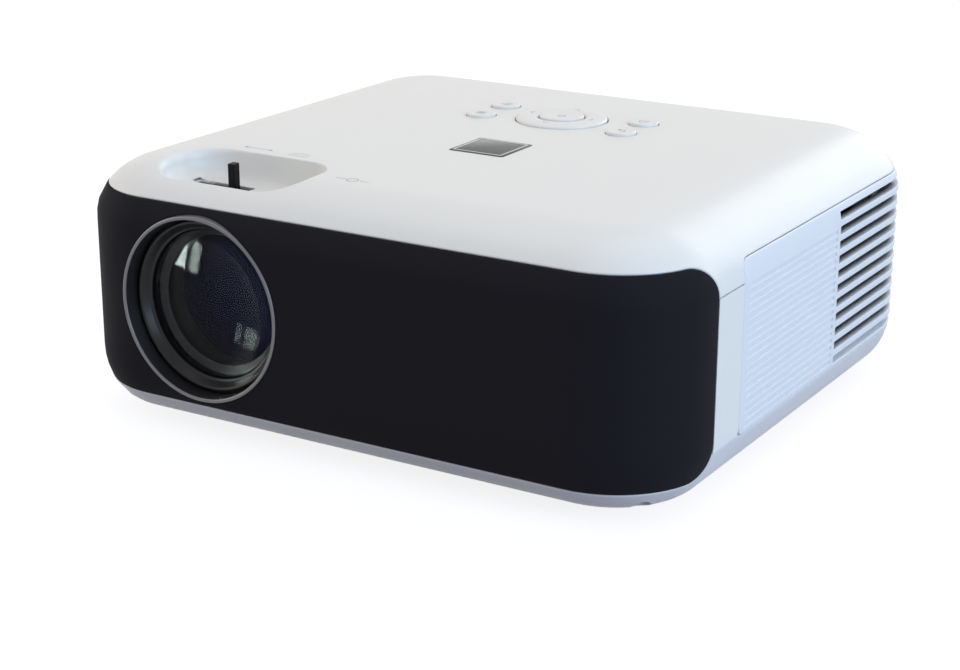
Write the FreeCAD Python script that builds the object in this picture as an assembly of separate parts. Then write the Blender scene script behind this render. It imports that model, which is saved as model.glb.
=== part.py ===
"""Tabletop projector with a built-in disc player, as an assembly of separate pieces.

A pillow-shaped housing stands on two rubber feet and one screw foot.  The lens sits at the left
of the black front panel, the slim disc drive opens on the left side, and the keys are on top.
Millimetres.  +Z is up, -Y is the front, +X is the right-hand side seen from the front.
Heights in this file count from the housing's underside; save() lifts every piece by FOOT_HEIGHT,
so that the feet stand on z = 0 in the written files.
"""
import FreeCAD
import Part
import math
import os

V = FreeCAD.Vector

# ---------------------------------------------------------------- driving dimensions
WIDTH, DEPTH, HEIGHT = 270.0, 252.0, 100.0     # housing, without the feet
FOOT_HEIGHT = 6.0
CORNER = 40.0                                  # plan radius of the four upright corners
CROWN_IN, CROWN_DOWN = 32.0, 24.0              # quarter ellipse that rounds the top edge
BELLY_IN, BELLY_UP = 15.2, 22.0                # quarter ellipse that rounds the bottom edge
SKIN = 2.8                                     # wall of the covers and panels
LINER_GAP, LINER = 0.2, 2.2                    # the chassis band runs just inside the panels
SEAM = 0.3                                     # visible gap between neighbouring panels

FRONT, RIGHT = -DEPTH / 2, WIDTH / 2
LOW_SEAM, HIGH_SEAM = 17.5, 75.7               # where the bottom and top covers meet the band

# front panel: wraps both front corners
FACE_LOW, FACE_HIGH, FACE_END, FACE_R = 8.7, 88.9, -84.6, 13.0
# side panels: from just behind the front panel, round the rear corner
SIDE_LOW, SIDE_HIGH, SIDE_START, SIDE_R = 16.3, 84.4, -63.2, 5.0
REAR_HALF = WIDTH / 2 - CORNER                 # the rear panel spans the flat of the back

# vent slots and decorative grooves share one pitch
SLOT_PITCH, SLOT_H, SLOT_COUNT, SLOT_Z = 6.0, 3.3, 11, 19.7
SLOT_START = 29.0
SLOT_TURN = 48.0                               # degrees that the slots run round the rear corner
GROOVE_PITCH, GROOVE_H, GROOVE_DEPTH = 3.0, 1.3, 0.7
GROOVE_START, GROOVE_END = -58.5, 26.0

# lens axis, along Y
LENS_X, LENS_Z = -64.5, 49.1
TRIM_R, TRIM_BORE, TRIM_BACK, TRIM_PROUD = 37.15, 35.55, -118.0, 0.4
TUBE_BORE, TUBE_R = 34.45, 35.6                # wide front part of the fixed tube
NECK_BORE, NECK_R = 28.3, 30.3                 # narrow rear part
TUBE_FRONT, TUBE_STEP, TUBE_BACK = -117.5, -97.0, -60.0
CELL_FRONT, CELL_STEP, CELL_BACK = -120.2, -102.5, -67.0
CELL_R, CELL_NECK_R = 34.1, 28.22
GLASS_R, GLASS_RIM_Y, GLASS_SEAT_Y, GLASS_DOME = 28.5, -114.7, -111.3, 5.4
FOCUS_TRAVEL, FOCUS_TURN = 3.0, 45.0           # mm and degrees, each way from rest
FOCUS_PIN_R, FOCUS_PIN_Y = 2.0, -83.0
FOCUS_RIM_R, FOCUS_RIM_BORE, FOCUS_FRONT, FOCUS_WEB, FOCUS_BACK = 40.5, 36.5, -108.5, -94.5, -70.0
FOCUS_SKIRT_R, FOCUS_TEETH = 33.0, 48

# finger pocket above the lens
POCKET_X, POCKET_Y, POCKET_HALF_X, POCKET_HALF_Y, POCKET_R = -64.7, -93.5, 33.8, 18.4, 15.5
POCKET_FLOOR, POCKET_WALL, TUB_GAP = 88.8, 1.8, 0.05
FLOOR_LEFT, FLOOR_RIGHT, FLOOR_FRONT, FLOOR_BACK, FLOOR_R = -87.5, -38.5, -109.2, -77.6, 9.0

# keystone slider and the fold mirror that it tilts
LEVER_X, LEVER_Y, LEVER_WIDE, LEVER_DEEP, LEVER_TOP = -74.0, -88.5, 3.2, 4.0, 98.4
SLIDE_MIN, SLIDE_MAX = -17.0, 7.0
TILT_PER_MM = math.radians(4.0) / (SLIDE_MAX - SLIDE_MIN)
MIRROR_X, MIRROR_Y, MIRROR_Z = LENS_X, -17.0, 37.75
MIRROR_LONG, MIRROR_TALL, MIRROR_THICK = 62.0, 42.0, 2.0
PIVOT_R, PIVOT_END = 2.0, 39.0
CAM_X, CAM_Y, CAM_PIN_R, CAM_PIN_TOP = -97.0, -62.0, 1.5, 87.4
PLATE_LOW, PLATE_HIGH = 83.6, 85.4
ARM_LOW, ARM_HIGH = 64.7, 66.3

# light engine box
ENGINE = (-103.0, 62.0, -59.9, 26.0, 12.0, 63.5)
ENGINE_WALL = 2.0

# key field on the top
KEYS_X, KEYS_Y = 0.0, 44.5
NAV_R, NAV_BORE, NAV_TOP = 19.6, 10.3, HEIGHT + 1.5
NAV_FLANGE_R, NAV_LOW, NAV_FLANGE_TOP = 21.2, 94.5, 96.2
OK_R, OK_TOP = 9.6, HEIGHT + 1.9
KEY_R, KEY_TOP, KEY_DX, KEY_DY = 6.3, HEIGHT + 1.2, 34.0, 10.5
KEY_GAP = 0.4
KEYBOARD_TOP = 91.2
BADGE_X, BADGE_Y, BADGE_SIDE, BADGE_SINK, BADGE_RISE = 1.5, -17.2, 25.0, 0.7, 0.25

# slim disc drive, opening through the left side
DRIVE = (-131.4, -5.4, -54.0, 74.0, 67.4, 80.0)
SHEET = 0.8                                    # the drive's sheet metal
HUB_X, HUB_Y = -70.0, 10.0
TRAY_LOW, DECK_LOW, DISC_FLOOR, TRAY_TOP, DISC_R = 69.4, 73.4, 75.0, 76.4, 60.4
TRAY_HALF, TRAY_END = 61.4, -8.0
RAIL_LOW, RAIL_HIGH, RAIL_THICK = 71.0, 74.4, 1.1
SLED_HOME, SLED_LONG, SLED_TRAVEL, ROD_Z = 24.0, 13.0, 32.0, 71.2
PICKUP_ANGLE = 225.0                           # the pickup runs from the hub to the front corner
EJECT_Y, EJECT_Z, EJECT_LONG, EJECT_TALL = 57.0, 73.8, 10.0, 3.6

# feet, screws and inserts
REAR_FOOT_X, REAR_FOOT_Y, REAR_FOOT_R = 98.0, 90.0, 9.0
SCREW_FOOT_Y, SCREW_FOOT_R, SCREW_FOOT_STEM = -84.0, 10.0, 4.0
POST_X, POST_Y, POST_R = 117.5, 106.5, 5.0
INSERT_X, INSERT_Y_FRONT, INSERT_Y_BACK = 60.0, -75.0, 31.0
TRIPOD_Y = -58.0

# rear panel and what opens through it
REAR_LOW, REAR_HIGH, REAR_R = 12.0, 88.0, 3.0
REAR_Y = DEPTH / 2
INLET_X, INLET_Z, INLET_W, INLET_H = -66.0, 30.0, 24.0, 16.0
SOCKET_Z = 58.6
SOCKET_PLATE = (-88.0, 66.0, 49.0, 69.0)       # left, right, bottom and top
INLET_PLATE = (-84.0, -48.0, 19.0, 41.0)
PLATE_GAP = 0.2
HDMI_X, USB_X, VGA_X, CARD_X = -74.0, -50.0, 14.0, -20.0
VGA_SINK = 4.4                                 # how far that socket's flange lies behind the panel
JACK_XS, JACK_R, JACK_BORE = (44.0, 56.0), 3.2, 1.8
IR_X, IR_Z, IR_R = 76.0, 70.0, 5.0

# the tray's door in the left side
DOOR_FRONT, DOOR_BACK, DOOR_LOW, DOOR_HIGH, DOOR_GAP = -55.8, 75.8, 66.6, 80.6, 0.4
LID_THICK = 0.6

# light engine fittings, from the mirror to the lamp
LCD_X, FRESNEL_XS, HEAT_GLASS_X = -18.0, (-26.0, -10.0), 2.0
LEDGE_XS = (-24.2, -20.0, -14.8, -8.2, 3.4)
LEG_PLACES = ((-97, -20), (-20, 20), (56, -53), (56, 20))
CONDENSER_X, CONDENSER_R, LED_Y, LED_Z = 30.0, 22.0, -17.0, 37.75
SINK = (62.2, 98.0, -57.0, 23.0, 8.0, 64.0)

# fans: back and front of the frame, then the axis's y and z
EXHAUST = (112.0, 127.0, 54.0, 48.0)
INTAKE = (-127.0, -117.0, 5.0, 38.0)
FAN_HUB_R, FAN_PIN_R = 12.0, 1.5
POWER_BOARD_Z, MAIN_BOARD_Z = 8.0, 52.0
BOARD_HOLD_X, BOARD_HOLD_Y = 42.0, 21.0
RIB_YS = (52.0, 76.0)

# screws and inserts
POST_BOTTOM, POST_TOP = 14.0, 86.0
SCREW_R, SCREW_HEAD_R, SCREW_HEAD_Z, SCREW_HEAD = 1.4, 3.2, 6.0, 2.2
INSERT_R, INSERT_BORE, INSERT_TOP = 3.4, 2.0, 8.3
TRIPOD_R, TRIPOD_BORE, TRIPOD_TOP = 5.0, 3.0, 9.3
FOOT_PLUG_R = 2.9
SOLE_TOP, SOLE_PIN_R, SCREW_TOP = -4.0, 1.6, 30.0

# keystone slider's plate and its guide pins
PLATE_LEFT, PLATE_RIGHT, PLATE_FRONT, PLATE_BACK = -108.0, -57.0, -93.0, -57.0
GUIDE_XS, GUIDE_Y, GUIDE_R = (-86.0, -80.0), -75.0, 2.0

# glass seats inside the lens cell, and the clip that keeps the focus ring on
MID_GLASS_SEAT, REAR_GLASS_SEAT, CLIP_Y = -95.0, -75.0, -68.5


# ---------------------------------------------------------------- small helpers
def box(x0, x1, y0, y1, z0, z1):
    return Part.makeBox(x1 - x0, y1 - y0, z1 - z0, V(x0, y0, z0))


def rod(axis, across, r, start, end):
    """A cylinder along 'x', 'y' or 'z'; across holds its other two coordinates, in axis order."""
    a, b = across
    place, way = {
        "x": (V(start, a, b), V(1, 0, 0)),
        "y": (V(a, start, b), V(0, 1, 0)),
        "z": (V(a, b, start), V(0, 0, 1)),
    }[axis]
    return Part.makeCylinder(r, end - start, place, way)


def ring(axis, across, bore, r, start, end):
    return rod(axis, across, r, start, end).cut(rod(axis, across, bore, start - 1, end + 1))


def turned(across, points):
    """A solid of revolution about a line along Y; points are (radius, y) pairs."""
    x, z = across
    outline = Part.makePolygon([V(x + r, y, z) for r, y in points + points[:1]])
    return Part.Face(outline).revolve(V(x, 0, z), V(0, 1, 0), 360)


def slab(axis, low, high, r, start, end):
    """A prism along an axis whose outline is a rectangle with rounded corners.

    low and high are the rectangle's corners in the other two coordinates, in axis order.
    """
    (a0, b0), (a1, b1) = low, high
    spot = {
        "x": lambda a, b: V(start, a, b),
        "y": lambda a, b: V(a, start, b),
        "z": lambda a, b: V(a, b, start),
    }[axis]
    way = {"x": V(1, 0, 0), "y": V(0, 1, 0), "z": V(0, 0, 1)}[axis]
    return Part.Face(rounded_wire(spot, a0, a1, b0, b1, r)).extrude(way * (end - start))


def rounded_wire(spot, a0, a1, b0, b1, r):
    k = r * (1 - math.sqrt(0.5))
    line = lambda p, q: Part.LineSegment(spot(*p), spot(*q)).toShape()
    arc = lambda p, q, s: Part.Arc(spot(*p), spot(*q), spot(*s)).toShape()
    return Part.Wire([
        line((a0 + r, b0), (a1 - r, b0)),
        arc((a1 - r, b0), (a1 - k, b0 + k), (a1, b0 + r)),
        line((a1, b0 + r), (a1, b1 - r)),
        arc((a1, b1 - r), (a1 - k, b1 - k), (a1 - r, b1)),
        line((a1 - r, b1), (a0 + r, b1)),
        arc((a0 + r, b1), (a0 + k, b1 - k), (a0, b1 - r)),
        line((a0, b1 - r), (a0, b0 + r)),
        arc((a0, b0 + r), (a0 + k, b0 + k), (a0 + r, b0)),
    ])


def join(*shapes):
    whole = shapes[0]
    if len(shapes) > 1:
        whole = whole.fuse(list(shapes[1:]))
    return whole.removeSplitter()


def without(base, *tools):
    return base.cut(list(tools))


def group(*shapes):
    return Part.makeCompound(list(shapes))


def mirrored(shape):
    return shape.mirror(V(0, 0, 0), V(1, 0, 0))


def spun(shape, degrees, centre, axis):
    return shape.copy().rotate(centre, axis, degrees)


def softened(shape, r, pick):
    """Rounds the edges that pick() accepts."""
    return shape.makeFillet(r, [e for e in shape.Edges if pick(e)])


def flat_at(z, tolerance=0.01):
    """Picks edges that lie wholly at one height."""
    return lambda e: abs(e.BoundBox.ZMin - z) < tolerance and abs(e.BoundBox.ZMax - z) < tolerance


def save(name, shape):
    solids = shape.Solids
    shape = solids[0] if len(solids) == 1 else Part.makeCompound(solids)
    lifted = shape.copy()
    lifted.translate(V(0, 0, FOOT_HEIGHT))
    for solid in lifted.Solids:
        if not solid.isValid() or solid.Volume <= 0:
            print("check this solid:", name)
    lifted.exportStep(os.path.join("parts", name + ".step"))
    print(f"{name}: {len(lifted.Solids)} solid(s), {lifted.Volume / 1000:.2f} cm3")


# ---------------------------------------------------------------- the pillow shape
def quarter_ellipse(centre, wide, tall, sign):
    """The outer quarter of an ellipse in the XZ plane, above (sign 1) or below (-1) its centre."""
    side, end = V(centre.x + wide, 0, centre.z), V(centre.x, 0, centre.z + sign * tall)
    long_first = (side, end) if wide >= tall else (end, side)
    curve = Part.Ellipse(long_first[0], long_first[1], centre)
    first, last = sorted((curve.parameter(side), curve.parameter(end)))
    if last - first > math.pi:
        first, last = last, first + 2 * math.pi
    return curve.toShape(first, last)


def pillow_profile(inset):
    """Half section through a wall: x is the distance out from a corner's upright axis."""
    top, wall = HEIGHT - inset, CORNER - inset
    crown = V(CORNER - CROWN_IN, 0, HEIGHT - CROWN_DOWN)
    belly = V(CORNER - BELLY_IN, 0, BELLY_UP)
    line = lambda x0, z0, x1, z1: Part.LineSegment(V(x0, 0, z0), V(x1, 0, z1)).toShape()
    edges = [
        line(0, inset, belly.x, inset),
        quarter_ellipse(belly, BELLY_IN - inset, BELLY_UP - inset, -1),
        line(wall, BELLY_UP, wall, HEIGHT - CROWN_DOWN),
        quarter_ellipse(crown, CROWN_IN - inset, CROWN_DOWN - inset, 1),
        line(crown.x, top, 0, top),
        line(0, top, 0, inset),
    ]
    return Part.Face(Part.Wire(Part.__sortEdges__(edges)))


def pillow(inset=0.0):
    """The housing's whole form, shrunk by inset on every side."""
    cx, cy = WIDTH / 2 - CORNER, DEPTH / 2 - CORNER
    face = pillow_profile(inset)
    pieces = [box(-cx, cx, -cy, cy, inset, HEIGHT - inset)]
    walls = (0, cx, -cy, 2 * cy), (90, cx, cy, 2 * cx), (180, -cx, cy, 2 * cy), (270, -cx, -cy, 2 * cx)
    for turn, x, y, run in walls:
        wall = face.copy()
        wall.rotate(V(0, 0, 0), V(0, 0, 1), turn)
        wall.translate(V(x, y, 0))
        along = V(0, 1, 0) if turn in (0, 180) else V(-1, 0, 0)
        along = along if turn < 180 else along * -1
        pieces.append(wall.extrude(along * run))
        pieces.append(wall.revolve(V(x, y, 0), V(0, 0, 1), -90))
    return join(*pieces)


# ---------------------------------------------------------------- outlines of the panels
def face_region(grow=0.0):
    return slab("x", (FRONT - 30, FACE_LOW - grow), (FACE_END + grow, FACE_HIGH + grow),
                FACE_R + grow, -RIGHT - 5, RIGHT + 5)


def side_region(grow=0.0):
    """The right side's panel; it runs round the rear corner up to the rear panel."""
    whole = slab("x", (SIDE_START - grow, SIDE_LOW - grow), (-FRONT + 30, SIDE_HIGH + grow),
                 SIDE_R + grow, 0, RIGHT + 5)
    return whole.cut(box(-1, REAR_HALF - grow, 80, -FRONT + 40, 0, HEIGHT))


def rear_region(grow=0.0):
    return slab("y", (-REAR_HALF - grow, REAR_LOW - grow), (REAR_HALF + grow, REAR_HIGH + grow),
                REAR_R + grow, 80, -FRONT + 5)


def drive_door_region(grow=0.0):
    """The opening that the tray's bezel fills, in the left side."""
    return box(-RIGHT - 5, -RIGHT + 12, DOOR_FRONT - grow, DOOR_BACK + grow,
               DOOR_LOW - grow, DOOR_HIGH + grow)


def slot_tools(count, late_from=None, late_start=None):
    """Prisms for the vent slots of the right side, from the flat round the corner."""
    turn = math.tan(math.radians(SLOT_TURN))
    inner, outer = RIGHT - 20, RIGHT + 60
    tools = []
    for row in range(count):
        z = SLOT_Z + row * SLOT_PITCH
        start = late_start if late_from is not None and z > late_from else SLOT_START
        corners = [
            (inner, start),
            (outer, start),
            (outer, DEPTH / 2 - CORNER + turn * (outer - REAR_HALF)),
            (inner, DEPTH / 2 - CORNER + turn * (inner - REAR_HALF)),
        ]
        wire = Part.makePolygon([V(x, y, z - SLOT_H / 2) for x, y in corners + corners[:1]])
        tools.append(Part.Face(wire).extrude(V(0, 0, SLOT_H)))
    return tools


def groove_tools(top):
    """Shallow lines along the side, twice as close as the slots."""
    tools = []
    z = SLOT_Z
    while z < top:
        tools.append(box(RIGHT - GROOVE_DEPTH, RIGHT + 1, GROOVE_START, GROOVE_END,
                         z - GROOVE_H / 2, z + GROOVE_H / 2))
        z += GROOVE_PITCH
    return tools


# ---------------------------------------------------------------- housing
def pocket_loft(floor_z, rim_z, grow):
    """The finger pocket's hollow, or with grow the outside of its wall."""
    outlines = []
    for z, x0, x1, y0, y1, r in (
        (floor_z, FLOOR_LEFT, FLOOR_RIGHT, FLOOR_FRONT, FLOOR_BACK, FLOOR_R),
        (rim_z, POCKET_X - POCKET_HALF_X, POCKET_X + POCKET_HALF_X,
         POCKET_Y - POCKET_HALF_Y, POCKET_Y + POCKET_HALF_Y, POCKET_R),
    ):
        outlines.append(rounded_wire(lambda a, b: V(a, b, z), x0 - grow, x1 + grow,
                                     y0 - grow, y1 + grow, r + grow))
    return Part.makeLoft(outlines, True, True)


def key_places():
    """Centre of each round key, by name."""
    return {
        "power_button": (KEYS_X + KEY_DX, KEYS_Y + KEY_DY),
        "source_button": (KEYS_X - KEY_DX, KEYS_Y + KEY_DY),
        "menu_button": (KEYS_X - KEY_DX, KEYS_Y - KEY_DY),
        "back_button": (KEYS_X + KEY_DX, KEYS_Y - KEY_DY),
    }


def corner_posts():
    return [(sx * POST_X, sy * POST_Y) for sx in (-1, 1) for sy in (-1, 1)]


def top_cover(skin):
    low = HIGH_SEAM + SEAM / 2
    whole = skin.common(box(-200, 200, -200, 200, low, HEIGHT + 1))
    whole = without(whole, face_region(SEAM / 2), side_region(SEAM / 2),
                    mirrored(side_region(SEAM / 2)), rear_region(SEAM / 2))
    inside, liner = pillow(1.0), pillow(SKIN + LINER_GAP)
    clear = FACE_HIGH + 0.5
    bosses = [rod("z", p, POST_R, POST_TOP + 0.2, clear).common(liner) for p in corner_posts()]
    bosses += [rod("z", p, POST_R, clear - 0.1, HEIGHT).common(inside) for p in corner_posts()]
    stands = [
        rod("z", (KEYS_X + sx * BOARD_HOLD_X, KEYS_Y + sy * BOARD_HOLD_Y), 2.5,
            KEYBOARD_TOP, HEIGHT - 1)
        for sx in (-1, 1)
        for sy in (-1, 1)
    ]
    whole = join(whole, *bosses, *stands)
    side = BADGE_SIDE / 2 + 0.1
    badge = slab("z", (BADGE_X - side, BADGE_Y - side), (BADGE_X + side, BADGE_Y + side), 1.1,
                 HEIGHT - BADGE_SINK, HEIGHT + 1)
    holes = [rod("z", place, KEY_R + KEY_GAP, HEIGHT - SKIN - 1, HEIGHT + 1)
             for place in key_places().values()]
    holes.append(rod("z", (KEYS_X, KEYS_Y), NAV_R + KEY_GAP + 0.1, HEIGHT - SKIN - 1, HEIGHT + 1))
    tub = pocket_loft(POCKET_FLOOR - POCKET_WALL, HEIGHT + 0.5, POCKET_WALL + TUB_GAP)
    return without(whole, tub, badge, *holes)


def pocket_tub(outer):
    """The finger pocket's floor and walls, with the guides that the slider hangs on."""
    wall = pocket_loft(POCKET_FLOOR - POCKET_WALL, HEIGHT + 0.5, POCKET_WALL).common(outer)
    guides = [rod("z", (x, GUIDE_Y), GUIDE_R, PLATE_LOW - 1.2, POCKET_FLOOR) for x in GUIDE_XS]
    heads = [rod("z", (x, GUIDE_Y), GUIDE_R + 1.5, PLATE_LOW - 1.2, PLATE_LOW - 0.4) for x in GUIDE_XS]
    half = LEVER_WIDE / 2 + KEY_GAP
    deep = LEVER_DEEP / 2 + KEY_GAP
    slot = box(LEVER_X + SLIDE_MIN - half, LEVER_X + SLIDE_MAX + half, LEVER_Y - deep, LEVER_Y + deep,
               POCKET_FLOOR - POCKET_WALL - 1, HEIGHT - 3)
    wheel = rod("y", (LENS_X, LENS_Z), FOCUS_RIM_R + 0.6, FOCUS_FRONT - 0.6, FOCUS_WEB + 0.6)
    wheel = wheel.common(box(-120, 0, -120, -90, POCKET_FLOOR - POCKET_WALL - 1, HEIGHT))
    tub = without(wall, pocket_loft(POCKET_FLOOR, HEIGHT + 0.5, 0), slot, wheel)
    return join(tub, *guides, *heads)


def bottom_cover(skin):
    high = LOW_SEAM - SEAM / 2
    whole = skin.common(box(-200, 200, -200, 200, -1, high))
    whole = without(whole, face_region(SEAM / 2), side_region(SEAM / 2),
                    mirrored(side_region(SEAM / 2)), rear_region(SEAM / 2))
    inside, liner = pillow(1.0), pillow(SKIN + LINER_GAP)
    clear = FACE_LOW - 0.5
    bosses = [rod("z", p, POST_R, 1, clear).common(inside) for p in corner_posts()]
    bosses += [rod("z", p, POST_R, clear - 0.1, POST_BOTTOM - 0.2).common(liner) for p in corner_posts()]
    bosses += [rod("z", p, INSERT_R + 2.2, 1, INSERT_TOP + 1.2) for p in insert_places()]
    bosses.append(rod("z", (0, TRIPOD_Y), TRIPOD_R + 3, 1, TRIPOD_TOP + 1.2))
    bosses.append(rod("z", (0, SCREW_FOOT_Y), SCREW_FOOT_STEM + 4, 1, 20))
    bosses += [rod("z", p, 3.0, 1, POWER_BOARD_Z) for p in power_board_holes()]
    bosses += [rod("z", p, 3.0, 1, MAIN_BOARD_Z) for p in main_board_holes()]
    whole = join(whole, *bosses)
    tools = []
    for x, y in corner_posts():
        tools.append(rod("z", (x, y), SCREW_HEAD_R + 0.4, -1, SCREW_HEAD_Z + SCREW_HEAD))
        tools.append(rod("z", (x, y), SCREW_R + 0.35, -1, POST_BOTTOM))
    tools += [rod("z", p, INSERT_R, -1, INSERT_TOP) for p in insert_places()]
    tools.append(rod("z", (0, TRIPOD_Y), TRIPOD_R, -1, TRIPOD_TOP))
    tools.append(rod("z", (0, SCREW_FOOT_Y), SCREW_FOOT_STEM + 0.08, -1, 21))
    tools += [rod("z", (sx * REAR_FOOT_X, REAR_FOOT_Y), FOOT_PLUG_R, -1, SKIN + 1) for sx in (-1, 1)]
    for x in range(-40, 61, 10):
        tools.append(slab("z", (x - 1.6, -44), (x + 1.6, -10), 1.5, -1, SKIN + 1))
    return without(whole, *tools)


def chassis():
    """The band of the sides, and the front and rear parts of the frame inside the panels."""
    liner = outer_ring(SKIN + LINER_GAP, SKIN + LINER_GAP + LINER)
    liner = liner.common(box(-200, 200, -200, 200, POST_BOTTOM, POST_TOP))
    high, low = POST_TOP - 6, POST_BOTTOM + 6
    liner = without(
        liner,
        box(-98, 98, FRONT - 5, FRONT + 20, low, high),
        rod("y", (LENS_X, LENS_Z), TRIM_R + 1.2, FRONT - 5, FRONT + 20),
        box(-REAR_HALF + 4, REAR_HALF - 4, -FRONT - 20, -FRONT + 5, low, high),
        box(RIGHT - 28, RIGHT + 5, 22, 100, low, high),
        box(-RIGHT - 5, -RIGHT + 28, 22, 100, low, high),
        box(RIGHT - 28, RIGHT + 5, -58, 16, low, high),
        box(-RIGHT - 5, -RIGHT + 28, DOOR_FRONT - 2, DOOR_BACK + 2, low, POST_TOP - 2),
    )
    strips = outer_ring(0, SKIN + LINER_GAP).common(
        box(-200, 200, FACE_END + SEAM / 2, SIDE_START - SEAM / 2,
            LOW_SEAM + SEAM / 2, HIGH_SEAM - SEAM / 2))
    inside = pillow(SKIN + LINER_GAP)
    posts = [rod("z", p, POST_R, POST_BOTTOM, POST_TOP).common(inside) for p in corner_posts()]
    holes = [rod("z", p, SCREW_R, POST_BOTTOM - 1, POST_BOTTOM + 14) for p in corner_posts()]
    middle_x, middle_y = WIDTH / 2 - CORNER, DEPTH / 2 - CORNER
    sides = join(liner.common(box(-200, 200, -middle_y, middle_y, 0, HEIGHT)), *strips.Solids)
    ends = []
    for near, far in ((-200, -middle_y), (middle_y, 200)):
        end = box(-200, 200, near, far, 0, HEIGHT)
        shapes = [liner.common(end).common(box(-middle_x, middle_x, -200, 200, 0, HEIGHT))]
        for left, right in ((-200, -middle_x), (middle_x, 200)):
            corner = join(liner, *posts).common(end).common(box(left, right, -200, 200, 0, HEIGHT))
            shapes.append(without(corner, *holes))
        ends.append(group(*[solid for shape in shapes for solid in shape.Solids]))
    return sides, ends[0], ends[1]


def outer_ring(outer_inset, inner_inset):
    return pillow(outer_inset).cut(pillow(inner_inset))


def front_panel(skin):
    whole = skin.common(face_region(-SEAM / 2))
    return without(whole, rod("y", (LENS_X, LENS_Z), TRIM_R + 0.1, FRONT - 5, FRONT + 30))


def side_panels(skin):
    plain = skin.common(side_region(-SEAM / 2))
    right = without(plain, *slot_tools(SLOT_COUNT), *groove_tools(HIGH_SEAM + 1))
    ribs = outer_ring(SKIN - 0.4, SKIN + 2)
    rib_low, rib_high = POST_BOTTOM + 6.4, POST_TOP - 6.4
    bars = [box(RIGHT - 12, RIGHT, y, y + 1.6, rib_low, rib_high) for y in RIB_YS]
    right = join(right, *[ribs.common(bar) for bar in bars])
    tools = slot_tools(SLOT_COUNT, DOOR_LOW - 4, DOOR_BACK + 8) + groove_tools(DOOR_LOW - 3)
    tools = [mirrored(tool) for tool in tools]
    left = without(mirrored(plain), drive_door_region(DOOR_GAP), *tools)
    bars = [box(-RIGHT, -RIGHT + 12, y, y + 1.6, rib_low, DOOR_LOW - 2) for y in RIB_YS]
    left = join(left, *[ribs.common(bar) for bar in bars])
    return right, left


def rear_panels(skin):
    """The rear panel, and the two plates set in it, which hold the sockets and the mains inlet."""
    whole = skin.common(rear_region(-SEAM / 2))
    tools = [slab("y", (x - w / 2 - 0.3, z - h / 2 - 0.3), (x + w / 2 + 0.3, z + h / 2 + 0.3), 0.8,
                  100, 140)
             for x, z, w, h in rear_openings()]
    tools += [rod("y", (x, SOCKET_Z), JACK_R + 0.3, 100, 140) for x in JACK_XS]
    tools.append(rod("y", (IR_X, IR_Z), IR_R + 0.15, 100, 140))
    for x in range(8, 81, 6):
        tools.append(slab("y", (x - 1.2, 20), (x + 1.2, 42), 1.1, 100, 140))
    whole = without(whole, *tools)
    outlines = [[slab("y", (x0 - grow, z0 - grow), (x1 + grow, z1 + grow), 2.0 + grow, 100, 140)
                 for x0, x1, z0, z1 in (SOCKET_PLATE, INLET_PLATE)]
                for grow in (0, PLATE_GAP)]
    plates = [whole.common(outline) for outline in outlines[0]]
    return without(whole, *outlines[1]), *plates


def badge_plate():
    half = BADGE_SIDE / 2
    plate = slab("z", (BADGE_X - half, BADGE_Y - half), (BADGE_X + half, BADGE_Y + half),
                 1.0, HEIGHT - BADGE_SINK, HEIGHT + BADGE_RISE)
    return plate


def lens_trim_ring():
    outer = TRIM_R
    face = FRONT - TRIM_PROUD
    points = [(TRIM_BORE, TRIM_BACK), (TRIM_BORE, face + 0.3), (TRIM_BORE + 0.3, face),
              (outer - 0.3, face), (outer, face + 0.3), (outer, TRIM_BACK)]
    return turned((LENS_X, LENS_Z), points)


def case_screws():
    parts = []
    for x, y in corner_posts():
        head = rod("z", (x, y), SCREW_HEAD_R, SCREW_HEAD_Z, SCREW_HEAD_Z + SCREW_HEAD)
        shank = rod("z", (x, y), SCREW_R, SCREW_HEAD_Z, POST_BOTTOM + 12)
        cross = [box(x - a, x + a, y - b, y + b, SCREW_HEAD_Z - 1, SCREW_HEAD_Z + 1.1)
                 for a, b in ((1.9, 0.4), (0.4, 1.9))]
        parts.append(without(join(head, shank), *cross))
    return group(*parts)


def insert_places():
    return [(sx * INSERT_X, y) for sx in (-1, 1) for y in (INSERT_Y_FRONT, INSERT_Y_BACK)]


def threaded_inserts():
    parts = [ring("z", p, INSERT_BORE, INSERT_R, 0.3, INSERT_TOP) for p in insert_places()]
    parts.append(ring("z", (0, TRIPOD_Y), TRIPOD_BORE, TRIPOD_R, 0.3, TRIPOD_TOP))
    return group(*parts)


def rubber_feet():
    parts = []
    for sx in (-1, 1):
        place = (sx * REAR_FOOT_X, REAR_FOOT_Y)
        base = V(*place, -FOOT_HEIGHT)
        pad = Part.makeCone(REAR_FOOT_R - 1.2, REAR_FOOT_R, FOOT_HEIGHT, base)
        parts.append(join(pad, rod("z", place, FOOT_PLUG_R, -0.5, SKIN)))
    return group(*parts)


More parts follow.
